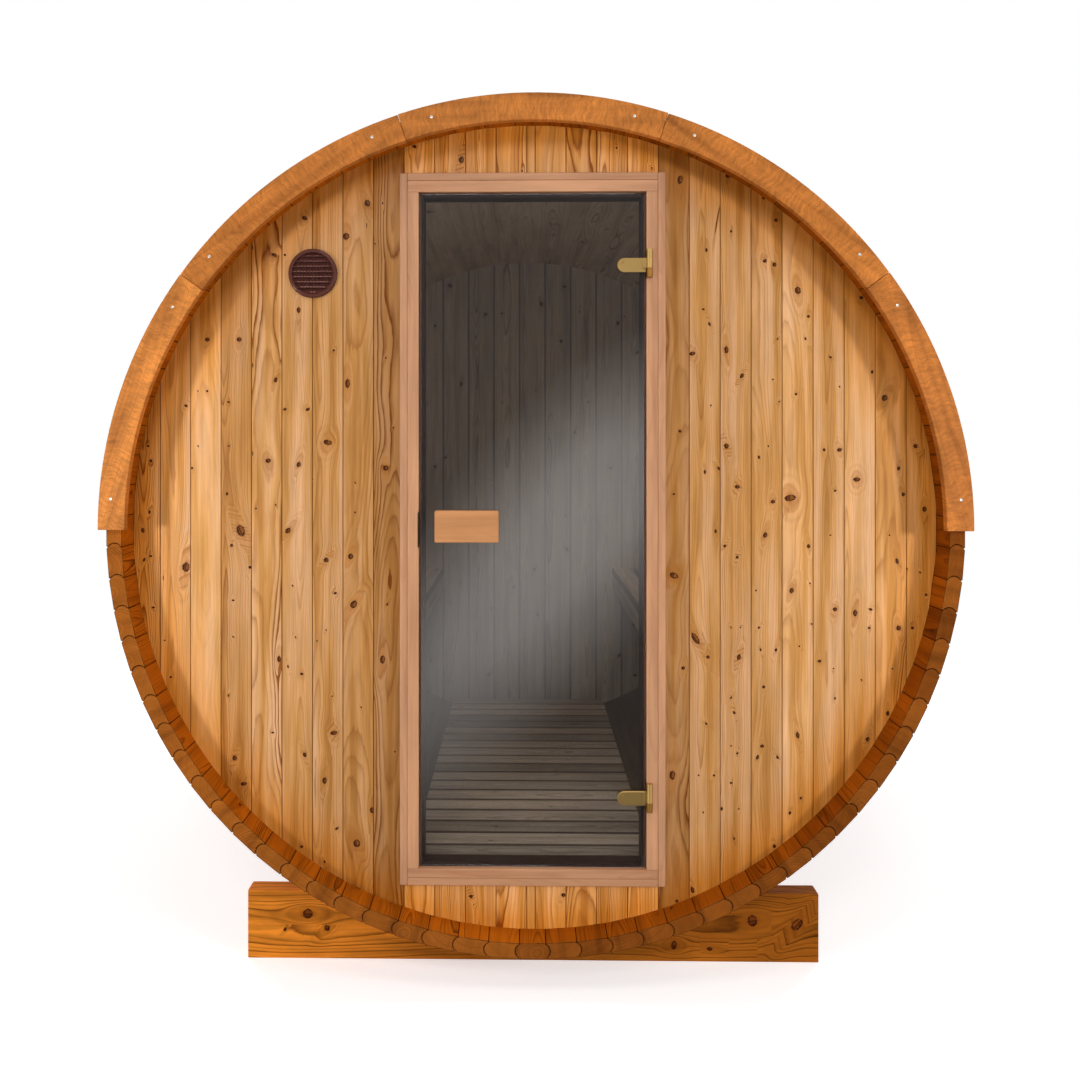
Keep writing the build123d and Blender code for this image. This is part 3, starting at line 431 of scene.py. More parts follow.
# ---- shapes
class Stock:
    """Gathers the timbers of one piece. Each keeps the place in the log that it was sawn from."""

    def __init__(self, seed):
        self.draw = random.Random(seed)
        self.points, self.faces, self.slots = [], [], []
        self.place, self.board, self.knot = [], [], []

    def add(
        self, points, faces, cut, knots=(), slots=None, tone=None, figure=0.5, width=None, rim=None, lean=0.0
    ):
        """One closed timber. cut is its middle and its along, across and depth axes in the row frame,
        figure is how strong its rings are, and the last argument how its tone changes along it, as a
        painted falloff from light to shade. rim is how near each point is to a joint, which is at
        nought: the width alone gives it for a plain board."""
        middle, axes = np.array(cut[0], float), np.array(cut[1:], float)
        points = np.asarray(points, float)
        local = (points - middle) @ axes.T
        draw = self.draw
        sawn = [draw.uniform(3.0, 60.0), draw.uniform(-0.03, 0.03)]
        sawn.append(draw.choice((-1, 1)) * draw.uniform(0.03, 0.09))
        if tone is None:
            tone = draw.uniform(0.9, 1.07)
        if rim is None:
            rim = np.full(len(points), -1.0) if width is None else np.abs(local[:, 1]) - width / 2
        if volume(points, faces) < 0:
            faces = [face[::-1] for face in faces]
        start = len(self.points)
        self.points += points.tolist()
        self.place += (local + sawn).tolist()
        tones = np.broadcast_to(tone, len(points)) * (1 + lean * local[:, 0])
        self.board += [(shade, figure, value) for shade, value in zip(tones.tolist(), rim)]
        knots = [(x, y, r * KNOT_SHARE, *more) for x, y, r, *more in knots] or [NO_KNOT]
        centres = np.array([k[:2] for k in knots])
        radii = np.array([max(k[2], 1e-3) for k in knots])
        # a knot is rarely round: each has its own share of length to width, and its own slant
        longer = [k[3] if len(k) > 3 else draw.uniform(0.75, 1.35) for k in knots]
        slants = [k[4] if len(k) > 4 else draw.gauss(0.0, 0.3) for k in knots]
        for face in faces:
            corners = local[list(face)]
            gap = corners[:, :2].mean(0) - centres
            # each face takes the nearest knot, counted as nearer along the grain
            n = int(np.argmin(np.hypot(gap[:, 0] / 2.2, gap[:, 1]) / radii))
            turn = (math.cos(slants[n]), math.sin(slants[n]))
            for corner in corners:
                x, y = corner[0] - centres[n][0], corner[1] - centres[n][1]
                x, y = (x * turn[0] + y * turn[1]) / longer[n], (y * turn[0] - x * turn[1]) * longer[n]
                self.knot.append((x, y, knots[n][2]))
            self.faces.append([start + index for index in face])
        self.slots += slots or [0] * len(faces)

    def build(self, name, materials, body, nodes=(), slot=None):
        mesh = meshed(name, self.points, self.faces)
        for label, domain, values in (
            ("place", "POINT", self.place),
            ("board", "POINT", self.board),
            ("knot", "CORNER", self.knot),
        ):
            layer = mesh.attributes.new(label, "FLOAT_VECTOR", domain)
            layer.data.foreach_set("vector", np.array(values, np.float32).ravel())
        mesh.polygons.foreach_set("material_index", self.slots)
        show(name, mesh, materials, body, nodes)


def meshed(name, points, faces):
    mesh = bpy.data.meshes.new(name)
    mesh.from_pydata(points, [], faces)
    return mesh


def linked(name, data):
    """A new object in the scene."""
    thing = bpy.data.objects.new(name, data)
    bpy.context.scene.collection.objects.link(thing)
    return thing


def keep_flats(mesh):
    """Keeps a broad flat face flat where it turns into a narrow eased edge."""
    ratio, least_turn = 6.0, 0.02
    whole = bmesh.new()
    whole.from_mesh(mesh)
    for edge in whole.edges:
        if edge.is_manifold and edge.calc_face_angle(0.0) > least_turn:
            narrow, broad = sorted(face.calc_area() for face in edge.link_faces)
            if broad > ratio * narrow:
                edge.smooth = False
    whole.to_mesh(mesh)
    whole.free()


def show(name, mesh, materials, body, nodes=()):
    """Puts a finished mesh in the scene as a piece that rides on a body and stands for CAD nodes."""
    for material in materials:
        mesh.materials.append(material)
    mesh.polygons.foreach_set("use_smooth", [True] * len(mesh.polygons))
    mesh.set_sharp_from_angle(angle=math.radians(32.0))
    keep_flats(mesh)
    mesh.update()
    piece = linked(name, mesh)
    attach(piece, body)
    if nodes:
        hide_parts(*nodes)


def volume(points, faces):
    """Six times the signed volume inside closed faces."""
    total = 0.0
    for face in faces:
        a = points[face[0]]
        fan = points[list(face[1:])]
        total += float(np.cross(fan[:-1], fan[1:]).dot(a).sum())
    return total


def loft(sections):
    """Faces over a run of closed sections of equal count, with a cap at each end."""
    count = len(sections[0])
    points = [point for section in sections for point in section]
    faces = []
    last = (len(sections) - 1) * count
    for row in range(0, last, count):
        for k in range(count):
            a, b = row + k, row + (k + 1) % count
            faces.append([a, b, b + count, a + count])
    return points, [*faces, list(range(count))[::-1], list(range(last, last + count))]


def together(shapes):
    """Several shapes, each as points and faces, as one."""
    points, faces = [], []
    for more, over in shapes:
        faces += [[index + len(points) for index in face] for face in over]
        points += more
    return points, faces


def stations(start, end, ease, step):
    """Places of sections along a timber, with each end's easing, as (place, inset)."""
    inner = max(1, math.ceil((end - start - 2 * ease) / step))
    between = [start + ease + (end - start - 2 * ease) * n / inner for n in range(inner + 1)]
    return [(start, ease), *((place, 0.0) for place in between), (end, ease)]


def section_ring(width, height, ease, columns):
    """Points round an eased rectangle as (across, depth), with columns over its faces."""
    ring = []
    reach, rise = width / 2 - ease, height / 2 - ease
    bulge = ease * math.sqrt(0.5)
    corner = (reach + bulge, rise + bulge), (width / 2, rise)
    for side in (1, -1):
        ring += [(side * reach * (2 * n / columns - 1), side * (height / 2)) for n in range(columns + 1)]
        ring += [(side * x, side * y) for x, y in corner]
        ring += [(side * x, -side * y) for x, y in corner[::-1]]
    return ring


AXES = {"X": Vector((1, 0, 0)), "Y": Vector((0, 1, 0)), "Z": Vector((0, 0, 1))}


def cut_in(low, high, along, depth):
    """The middle of a box and its along, across and depth axes."""
    across = next(axis for axis in AXES if axis not in (along, depth))
    return (low + high) / 2, AXES[along], AXES[across], AXES[depth]


def plank(stock, low, high, along, depth, ease, step=0.3, columns=1, knots=(), **look):
    """A straight timber that fills a box, with its grain along one axis and its face towards another."""
    cut = middle, a, c, d = cut_in(low, high, along, depth)
    length, width, height = ((high - low).dot(v) for v in (a, c, d))
    sections = []
    for place, inset in stations(-length / 2, length / 2, ease, step):
        ring = section_ring(width - 2 * inset, height - 2 * inset, max(ease - inset, ease * 0.3), columns)
        sections.append([middle + a * place + c * x + d * y for x, y in ring])
    if knots is None:
        knots = scatter(stock.draw, length, width, 2.2)
    stock.add(*loft(sections), cut, knots, **look)


def scatter(draw, length, width, per_metre, small=0.003, large=0.009):
    """A few knots over a timber's length, kept apart."""
    knots, place = [], -length / 2 + draw.uniform(0.02, 0.5)
    while place < length / 2 - 0.02:
        radius = small + (large - small) * draw.random() ** 2
        knots.append((place, draw.uniform(-0.42, 0.42) * width, radius))
        place += draw.uniform(0.4, 1.6) / per_metre
    return knots


def loose_parts(node):
    """The solids of a CAD node, each as a bmesh with its triangles joined again."""
    whole = bmesh.new()
    whole.from_mesh(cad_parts[node].data)
    bmesh.ops.remove_doubles(whole, verts=whole.verts, dist=2e-6)
    whole.faces.index_update()
    seen, parts = set(), []
    for start in whole.verts:
        if start in seen:
            continue
        seen.add(start)
        front, members = [start], []
        while front:
            vert = front.pop()
            members.append(vert)
            for edge in vert.link_edges:
                other = edge.other_vert(vert)
                if other not in seen:
                    seen.add(other)
                    front.append(other)
        part, copies = bmesh.new(), {}
        for vert in members:
            copies[vert] = part.verts.new(vert.co)
        # a set has no order of its own, and the joining of triangles below goes by it
        for face in sorted({f for vert in members for f in vert.link_faces}, key=lambda f: f.index):
            try:
                part.faces.new([copies[vert] for vert in face.verts])
            except ValueError:
                continue
        bmesh.ops.recalc_face_normals(part, faces=part.faces)
        bmesh.ops.dissolve_limit(part, angle_limit=0.004, verts=part.verts, edges=part.edges)
        parts.append(part)
    whole.free()
    parts.sort(key=lambda p: tuple(round(c, 4) for c in min(v.co.to_tuple(4) for v in p.verts)))
    return parts


def part_box(part):
    """The low and high corners of a bmesh."""
    points = np.array([vert.co for vert in part.verts])
    return Vector(points.min(0)), Vector(points.max(0))


def boxes(node):
    """The box of each solid of a CAD node."""
    return [part_box(part) for part in loose_parts(node)]


def ease_edges(part, ease):
    """Rounds a bmesh's sharp edges."""
    sharp = [e for e in part.edges if e.is_manifold and e.calc_face_angle(0.0) > math.radians(30.0)]
    bmesh.ops.bevel(
        part, geom=sharp, offset=ease, segments=2, profile=0.6, affect="EDGES", clamp_overlap=True
    )


def carve(stock, part, along, depth, ease, step=0.3, knots=(), **look):
    """A timber in a CAD solid's own shape, cut across at even steps so that knots have points near."""
    low, high = part_box(part)
    cut = middle, a, c, _ = cut_in(low, high, along, depth)
    ease_edges(part, ease)
    for axis, pace in ((a, step), (c, step * 0.8)):
        reach = (high - low).dot(axis) / 2
        place = -reach + pace
        while place < reach - pace / 2:
            bmesh.ops.bisect_plane(
                part, geom=part.verts[:] + part.edges[:] + part.faces[:], plane_co=middle + axis * place,
                plane_no=axis, dist=1e-6,
            )
            place += pace
    part.verts.index_update()
    points = [vert.co.to_tuple() for vert in part.verts]
    faces = [[vert.index for vert in face.verts] for face in part.faces]
    stock.add(points, faces, cut, knots, **look)
    part.free()


def dressed(name, node, material, ease, body):
    """A CAD node in its own shape with its edges eased."""
    whole, mesh = bmesh.new(), bpy.data.meshes.new(name)
    for part in loose_parts(node):
        ease_edges(part, ease)
        spare = bpy.data.meshes.new("spare")
        part.to_mesh(spare)
        whole.from_mesh(spare)
        bpy.data.meshes.remove(spare)
        part.free()
    whole.to_mesh(mesh)
    whole.free()
    show(name, mesh, [material], body, [node])


def turned(outline, middle, axis, steps):
    """A closed turned shape from (radius, height) pairs along an axis, as points and faces."""
    axis = Vector(axis)
    u = axis.orthogonal().normalized()
    v = axis.cross(u)
    sections = []
    for radius, height in outline:
        ring = []
        for n in range(steps):
            turn = 2 * math.pi * n / steps
            ring.append(Vector(middle) + axis * height + (u * math.cos(turn) + v * math.sin(turn)) * radius)
        sections.append(ring)
    return loft(sections)


def turned_piece(name, spots, outline, axis, material, body, steps):
    """One piece of several equal turned shapes."""
    mesh = meshed(name, *together(turned(outline, middle, axis, steps) for middle in spots))
    whole = bmesh.new()
    whole.from_mesh(mesh)
    bmesh.ops.recalc_face_normals(whole, faces=whole.faces)
    whole.to_mesh(mesh)
    whole.free()
    show(name, mesh, [material], body, ())


def bare():
    """The unfinished timber of the inside."""
    # a faint painted sheen on the paler bands
    return timber("inside_bare", "raw", rough=0.7, lines=1.2, sheen=0.3, painted_sheen=0.05, joint=0.017)


# ---- staves
BEAD_STEPS = 8
# The rings of a stave's end, as shares of its width and its thickness: its face, then its eased edge.
END_RINGS = ((0.86, 0.74), (0.985, 0.965))
# Painted shade: the right side's staves are painted darker than the left side's, on top of their random tone.
STAVE_TONES = ((0.62, 0.9), (0.97, 1.17))  # of the right side's staves, and of the left side's
# Painted shade and light of the staves' inner faces in the cabin: the lowest are painted darkest, the roof's
# get painted light on top.
LOW_CABIN_SHADE, ROOF_PAINTED_LIGHT = 0.38, 0.97  # of the inner faces: the lowest, and what the roof's have on top


class StaveShape:
    """The bead-and-cove sections of the staves."""

    def __init__(self, sizes):
        self.inner, self.outer = INNER_APOTHEM, OUTER_APOTHEM
        self.gap, self.bead, self.ease = sizes.stave_gap, sizes.bead, sizes.stave_ease
        self.mid = (self.inner + self.outer) / 2
        self.chord = (self.outer - self.inner) / 2 - sizes.bead_land
        self.bead_radius = (self.chord**2 + self.bead**2) / (2 * self.bead)
        self.pitch = 2 * math.pi / sizes.stave_count
        self.per_side = (sizes.stave_count - 2) // 2
        self.key = sizes.key_stave
        self.key_half = math.atan(self.key / 2 / self.inner)
        self.top_half = math.pi - self.key_half - self.per_side * self.pitch
        self.width = 2 * self.inner * math.tan(self.pitch / 2) - self.gap
        self.top_width = 2 * self.inner * math.tan(self.top_half) - self.gap

    def cove(self, neighbour, turn):
        """The centre of a cove: that of the bead on the next stave, a turn away and so wide."""
        x = neighbour / 2 + self.bead - self.bead_radius
        return self.mid * math.sin(turn) - x * math.cos(turn), self.mid * math.cos(turn) + x * math.sin(turn)

    def edge(self, side, half, cove):
        """Points outwards along one edge: a bead, or a cove where its centre is given."""
        if cove is None:
            centre, radius, sign = (half + self.bead - self.bead_radius, self.mid), self.bead_radius, 1
        else:
            centre, radius, sign = cove, self.bead_radius + self.gap, -1
        rise = math.sqrt(radius**2 - (centre[0] - half) ** 2)
        swing = math.asin(rise / radius)
        points = []
        for n in range(BEAD_STEPS + 1):
            turn = swing * (2 * n / BEAD_STEPS - 1)
            x = centre[0] + sign * radius * math.cos(turn)
            points.append((side * x, centre[1] + radius * math.sin(turn)))
        return points

    def ring(self, width, lower, upper):
        """A stave's outline as (along the shell, out from the axis), from its inner face round."""
        half, e = width / 2, self.ease
        inner = [(x, self.inner) for x in np.linspace(-half + e, half - e, 3)]
        outer = [(x, self.outer) for x in np.linspace(half - e, -half + e, 3)]
        ring = [(-half, self.inner + e), *inner, (half, self.inner + e), *self.edge(1, half, upper)]
        ring += [(half, self.outer - e), *outer, (-half, self.outer - e)]
        return ring + self.edge(-1, half, lower)[::-1]


def stave(stock, shape, angle, width, lower, upper, mirror=False):
    """One whole stave, turned about the axis from the bottom. Inside, painted shade darkens the lower ones
    and painted light brightens the roof's.
    """
    ring = shape.ring(width, lower, upper)
    count, face = len(ring), 5  # the first five points of a ring lie on the inner face
    # painted shade and light: the cabin's inner faces are painted darker low down and lighter up under the
    # roof
    within = LOW_CABIN_SHADE + ROOF_PAINTED_LIGHT * (1 - math.cos(angle)) / 2
    y_ends = [-RIM_Y, -RIM_Y, -RIM_Y + shape.ease]
    inside = np.linspace(-WALL_INSIDE, WALL_INSIDE, 18)
    rows = [*y_ends, -WALL_OUTSIDE, *inside, WALL_OUTSIDE, *(-y for y in y_ends[::-1])]
    side = -1 if mirror else 1
    u = Vector((side * math.cos(angle), 0, math.sin(angle)))
    v = Vector((side * math.sin(angle), 0, -math.cos(angle)))
    centre = Vector((0, 0, AXIS))
    # no two staves end quite level
    shift = [stock.draw.uniform(0.0, 0.0012) for _ in range(2)]
    # the right side's range of tone holds painted shade
    tone = stock.draw.uniform(*STAVE_TONES[mirror])
    sections, rim, tones, slots = [], [], [], []
    for row, y in enumerate(rows):
        place = min(row, len(rows) - 1 - row)
        narrow, thin = END_RINGS[place] if place < 2 else (1.0, 1.0)
        if place < 3:
            y += shift[0] if y < 0 else -shift[1]
        at, mid = centre + AXES["Y"] * y, shape.mid
        sections.append([at + u * (p * narrow) + v * (mid + (q - mid) * thin) for p, q in ring])
        if place < 2:
            rim += [-0.006 if place == 0 else 0.0] * count
        else:
            rim += [min(abs(p) - width / 2, 0.0) for p, q in ring]
        tones += [tone] * count
        # the cabin's inner faces take the painted shade and light of their height
        if abs(y) <= WALL_INSIDE:  # the cabin's side has its own tone and no joint lines
            rim[-count : face - count] = [-1.0] * face
            tones[-count : face - count] = [within] * face
    last = len(rows) - 2
    for row in range(last + 1):
        if min(row, last - row) < 2:
            slots += [1] * count
        else:
            cabin = abs(rows[row] + rows[row + 1]) / 2 < WALL_INSIDE
            slots += [2 if cabin else 0] * (face - 1) + [0] * (count - face + 1)
    cut = (centre + v * shape.mid, AXES["Y"], u, v)
    knots = scatter(stock.draw, 2 * RIM_Y, width, 1.6, 0.003, 0.011)
    figure = stock.draw.uniform(0.35, 0.95)
    stock.add(*loft(sections), cut, knots, [*slots, 1, 1], tones, figure, rim=rim)


def side_stave(stock, shape, number, mirror):
    """A stave by its number up one side. The lowest meets the key stave's bead."""
    angle = shape.key_half + (number + 0.5) * shape.pitch
    if number:
        lower = shape.cove(shape.width, shape.pitch)
    else:
        lower = shape.cove(shape.key, shape.key_half + shape.pitch / 2)
    stave(stock, shape, angle, shape.width, lower, None, mirror)


class SAUNA_OT_staves(bpy.types.Operator):
    """Build the bead-and-cove staves"""

    bl_idname = "sauna.staves"
    bl_label = "Staves"

    def execute(self, context):
        shape = StaveShape(context.scene.sauna_sizes)
        finishes = [
            timber("stave_stained", "stave", rough=0.6, fibre=0.16, sheen=0.04),
            timber("stave_end", "end", rough=0.75, lines=1.2, fibre=0.1, pores=0.3, sheen=0.03),
            bare(),
        ]
        bottom = Stock(11)
        stave(bottom, shape, 0.0, shape.key - shape.gap, None, None)
        bottom.build("key_stave", finishes, "sauna", ["stave_bottom"], "stave_timber")
        top, top_cove = Stock(12), shape.cove(shape.width, shape.top_half + shape.pitch / 2)
        stave(top, shape, math.pi, shape.top_width, top_cove, top_cove)
        top.build("closing_stave", finishes, "sauna", ["stave_top"], "stave_timber")
        for place, quarter in enumerate(QUARTERS):
            first = place * shape.per_side // len(QUARTERS)
            last = (place + 1) * shape.per_side // len(QUARTERS)
            for hand, mirror in (("right", False), ("left", True)):
                stock = Stock(20 + 2 * place + mirror)
                for number in range(first, last):
                    side_stave(stock, shape, number, mirror)
                nodes = [f"staves_{hand}_{quarter}"]
                stock.build(f"shell_{hand}_{quarter}", finishes, "sauna", nodes, "stave_timber")
        return {"FINISHED"}


# ---- end walls
# The boards of the front wall from the door outwards: (tone, figure, knots). The tones, lowest next
# to the door, are partly each board's own and partly painted shade that darkens the boards by the
# door. A knot is its height over the barrel's axis in centimetres, its percentage across the board
# from the left, and its radius in millimetres, then where it matters how long it is for its
# width and how far it leans to the right, in radians. A long thin one is a crack.
LEFT_BOARDS = [
    (0.62, 1.0, [(88, 30, 3), (77, 5, 3), (46, 40, 3), (27, 65, 3), (16, 40, 9), (-21, 45, 4), (-36, 30, 11),
                 (-61, 70, 3), (-102, 45, 5)]),
    (0.79, 0.4, [(79, 10, 11), (82, 78, 3.5, 2.5, 0), (88, 80, 10), (39, 15, 11), (12, 40, 3), (4, 40, 3),
                 (-8, 25, 9), (-21, 35, 12), (-49, 60, 3), (-86, 45, 12), (-77, 95, 8)]),
    (0.87, 0.45, [(48, 70, 4), (23, 50, 11), (-9, 45, 8), (-18, 75, 5), (-56, 70, 9), (-69, 40, 9),
                  (-82, 80, 5), (-91, 40, 4), (13, 0, 3), (-28, 45, 3), (-31, 15, 3), (-46, 65, 3)]),
    (0.9, 0.25, [(84, 75, 8), (74, 10, 4), (59, 55, 8), (32, 10, 5), (32, 85, 6), (17, 55, 8), (-1, 20, 9),
                  (-38, 20, 4), (-40, 65, 5), (-62, 75, 7), (-87, 65, 5), (-30, 45, 3), (-16, 35, 3)]),
    (0.98, 1.0, [(74, 75, 7), (76, 4, 3.5, 2.3, 0), (44, 4, 3.5, 2.3, 0), (20, 4, 3.5, 2.3, 0), (40, 80, 7),
                 (18, 55, 8), (6, 80, 3), (5, 15, 3), (-36, 90, 8), (-56, 70, 4)]),
    (0.86, 0.5, [(51, 60, 8), (34, 25, 4), (9, 20, 5), (22, 25, 3), (-1, 65, 16, 1.2, -0.4), (-5, 35, 5),
                 (-6, 95, 3), (-11, 95, 5), (-20, 40, 4), (-30, 40, 3), (-63, 45, 8), (-70, 75, 8),
                 (-46, 25, 3)]),
    (1.1, 0.2, [(51, 55, 7), (37, 55, 4), (37, 25, 3), (16, 5, 4), (22, 25, 3)]),
    (1.1, 0.4, [(33, 85, 5), (-11, 85, 14), (-14, 10, 3.5, 2.3, 0), (-41, 35, 4), (-31, 15, 3)]),
    (1.0, 0.8, [(22, 55, 4), (18, 65, 5), (4, 60, 5), (-1, 35, 7), (-9, 40, 5), (-8, 65, 4), (-22, 75, 4)]),
]
RIGHT_BOARDS = [
    (0.63, 0.75, [(94, 70, 11), (26, 70, 5), (9, 50, 4), (-13, 50, 12), (-38, 80, 6), (-67, 45, 12),
                  (-101, 60, 5)]),
    (0.85, 0.3, [(75, 55, 5), (59, 45, 4), (55, 65, 5), (47, 10, 8), (33, 70, 3), (15, 50, 5), (16, 95, 5),
                 (-1, 85, 5), (-30, 20, 14, 1.5, -0.6), (83, 90, 10, 4.5, 0.17), (-35, 60, 6), (-53, 55, 4),
                 (-67, 80, 4), (-67, 30, 3), (-77, 45, 3), (-98, 10, 8)]),
    (0.87, 0.5, [(95, 25, 7), (80, 35, 4), (48, 20, 9), (41, 70, 7), (22, 20, 8), (11, 55, 7), (-5, 15, 5),
                (-8, 55, 5), (-27, 35, 3), (-27, 65, 3), (-35, 60, 8), (-46, 35, 4), (-50, 45, 5),
                (-59, 35, 3), (-61, 55, 4), (-69, 35, 4), (-76, 5, 5), (-76, 60, 3), (-84, 45, 4)]),
    (0.9, 0.35, [(89, 40, 5), (83, 80, 6), (72, 45, 7), (71, 75, 7), (51, 85, 3), (40, 70, 3), (34, 90, 3),
                  (22, 55, 3), (19, 25, 5), (7, 70, 7), (-2, 45, 8), (-17, 15, 3), (-27, 25, 4), (-33, 30, 4),
                  (-33, 80, 5), (-43, 40, 5), (-59, 35, 6), (-62, 20, 6), (-62, 85, 5), (-86, 75, 6)]),
    (1.02, 0.3, [(64, 50, 11), (57, 85, 5), (51, 75, 4), (49, 95, 4), (36, 45, 4), (8, 25, 14, 0.75, -0.1),
                 (-5, 85, 6), (-17, 30, 8), (-15, 90, 3), (-26, 95, 3), (-32, 55, 3), (-56, 50, 8),
                 (-73, 60, 4), (-77, 25, 5)]),
    (0.93, 0.3, [(46, 55, 4), (38, 85, 3), (21, 35, 5), (21, 85, 7), (10, 70, 4), (-2, 55, 3), (-22, 70, 7),
                 (-36, 20, 5), (-38, 65, 3), (-46, 70, 4)]),
    (0.98, 0.3, [(62, 55, 6), (42, 90, 5), (13, 40, 9, 0.75, 0), (-23, 35, 9), (-22, 85, 5), (-27, 80, 4),
                 (-41, 55, 3), (-57, 75, 7)]),
    (1.03, 0.85, [(35, 30, 10), (16, 75, 6), (9, 90, 6), (-9, 70, 7), (-27, 75, 8), (-50, 40, 7), (-2, 45, 3),
                  (-38, 55, 3)]),
    (1.0, 0.5, [(22, 30, 7), (5, 60, 8), (-11, 0, 4), (-12, 45, 3), (-24, 40, 3), (-27, 20, 5),
                (-18, 65, 4)]),
]


class Board:
    """One upright wall board between two x places, with its look."""

    def __init__(self, left, right, draw, look=None):
        self.left, self.right = left, right
        self.centre, self.width = (left + right) / 2, right - left
        if look is None:
            self.tone, self.figure = draw.uniform(0.93, 1.05), draw.uniform(0.35, 0.95)
            self.knots = scatter(draw, 2 * INNER_APOTHEM, self.width, 3.2, 0.003, 0.011)
        else:
            self.tone, self.figure = look[:2]
            self.knots = [
                (z / 100, (share / 100 - 0.5) * self.width, r / 1000, *more) for z, share, r, *more in look[2]
            ]


BOARD_ROW = 0.04  # height of a board's rows of faces
INTO_GROOVE = 0.0008  # how far the boards reach into the staves' groove


def upright(board, left, right, faces_y, low, high, sizes, eased):
    """The part of a board between left and right, and between two heights that depend on x: its
    points, faces, cut and slots."""
    outside, inside = faces_y
    way = 1 if inside > outside else -1
    groove, crown = sizes.groove, sizes.crown

    def face_y(x, y, inward):
        swell = crown * (1 - (2 * (x - board.centre) / board.width) ** 2)
        return y - inward * swell

    span = np.linspace(left + groove * eased[0], right - groove * eased[1], 5)
    ring = [(left, outside + way * groove)] * eased[0]
    ring += [(x, face_y(x, outside, way)) for x in span]
    ring += [(right, outside + way * groove), (right, inside - way * groove)] * eased[1]
    ring += [(x, face_y(x, inside, -way)) for x in span[::-1]]
    ring += [(left, inside - way * groove)] * eased[0]
    rows = max(2, math.ceil((high(board.centre) - low(board.centre)) / BOARD_ROW))
    shares = [row / rows for row in range(rows + 1)]
    sections = [[(x, y, low(x) + (high(x) - low(x)) * share) for x, y in ring] for share in shares]
    within = [(y - inside) * way > -groove * 1.01 for x, y in ring]  # the cabin's face and its chamfers
    slots = [int(here and there) for here, there in zip(within, within[1:] + within[:1])] * rows
    middle = Vector((board.centre, (outside + inside) / 2, AXIS))
    return *loft(sections), (middle, AXES["Z"], AXES["X"], -way * AXES["Y"]), [*slots, 0, 0]


def place_board(stock, board, faces_y, sizes, opening=None):
    """A whole wall board, cut away where it meets the doorway."""
    radius = INNER_APOTHEM + INTO_GROOVE

    def top(x, way=1):
        return AXIS + way * math.sqrt(max(radius**2 - x * x, 1e-6))

    def bottom(x):
        return top(x, -1)

    runs = [(board.left, board.right, bottom, top, (True, True))]
    if opening:
        half, sill, head = opening
        cut_left, cut_right = max(board.left, -half), min(board.right, half)
        if cut_left < cut_right:
            whole = (cut_left - board.left < 1e-4, board.right - cut_right < 1e-4)
            runs = [
                (cut_left, cut_right, lambda x: head, top, whole),
                (cut_left, cut_right, bottom, lambda x: sill, whole),
            ]
            if not whole[0]:
                runs.append((board.left, cut_left, bottom, top, (True, False)))
            if not whole[1]:
                runs.append((cut_right, board.right, bottom, top, (False, True)))
    state = stock.draw.getstate()
    for left, right, low, high, eased in runs:
        stock.draw.setstate(state)  # every part of a board comes from the same place in its log
        points, faces, cut, slots = upright(board, left, right, faces_y, low, high, sizes, eased)
        stock.add(points, faces, cut, board.knots, slots, board.tone, board.figure, board.width)


def wall_finishes():
    """The oiled face of the end walls, and their bare side in the cabin."""
    # the oiled face carries a painted sheen on its paler bands and a painted shade towards the rim
    look = {"rough": 0.38, "lines": 1.45, "fibre": 0.16, "sheen": 0.12, "painted_sheen": 0.17, "painted_rim_shade": True}
    return [timber("wall_oiled", "wall", **look), bare()]


class SAUNA_OT_front_wall(bpy.types.Operator):
    """Build the boards of the front wall round the doorway"""

    bl_idname = "sauna.front_wall"
    bl_label = "Front wall"

    def execute(self, context):
        sizes, draw, stock = context.scene.sauna_sizes, random.Random(5), Stock(6)
        closing_x = -0.0037  # the closing strip's middle
        # Painted light: the boards over and under the door get a gain in tone that lifts the shade there.
        hidden, paler = 4, 1.22  # boards to each side over and under the door, and their gain in tone
        boards = [Board(closing_x - sizes.filler / 2, closing_x + sizes.filler / 2, draw, (1.0, 0.3, []))]
        for side, looks in ((-1, LEFT_BOARDS), (1, RIGHT_BOARDS)):
            for n in range(hidden + len(looks)):
                start = closing_x + side * (sizes.filler / 2 + n * sizes.board_pitch)
                ends = sorted((start, start + side * sizes.board_pitch))
                ends = [min(max(x, -INNER_APOTHEM), INNER_APOTHEM) for x in ends]
                boards.append(Board(*ends, draw, looks[n - hidden] if n >= hidden else None))
                if n < hidden:
                    boards[-1].tone *= paler
        for board in boards:
            place_board(stock, board, (-WALL_OUTSIDE, -WALL_INSIDE), sizes, DOORWAY)
        nodes = [f"front_wall_{part}" for part in ("left", "right", "over_door", "under_door")]
        stock.build("front_boards", wall_finishes(), "sauna", nodes, "wall_timber")
        return {"FINISHED"}


class SAUNA_OT_back_wall(bpy.types.Operator):
    """Build the boards of the back wall"""

    bl_idname = "sauna.back_wall"
    bl_label = "Back wall"

    def execute(self, context):
        sizes, draw, stock = context.scene.sauna_sizes, random.Random(8), Stock(9)
        joint, narrowest = -0.0396, 0.03  # the joint nearest the middle, and the least width of a board
        first, last = (math.floor((INNER_APOTHEM + way * joint) / sizes.back_pitch) for way in (1, -1))
        edges = [joint + n * sizes.back_pitch for n in range(-first, last + 1)]
        edges = [x for x in edges if abs(x) < INNER_APOTHEM - narrowest]
        edges = [-INNER_APOTHEM, *edges, INNER_APOTHEM]
        for left, right in zip(edges, edges[1:]):
            place_board(stock, Board(left, right, draw), (WALL_OUTSIDE, WALL_INSIDE), sizes)
        stock.build("back_boards", wall_finishes(), "sauna", ["back_wall"], "wall_timber")
        return {"FINISHED"}


# ---- trim rings
TRIM_WIDTH, TRIM_JOINT, TRIM_EASE, TRIM_END = 0.0715, 0.001, 0.0026, 0.0015
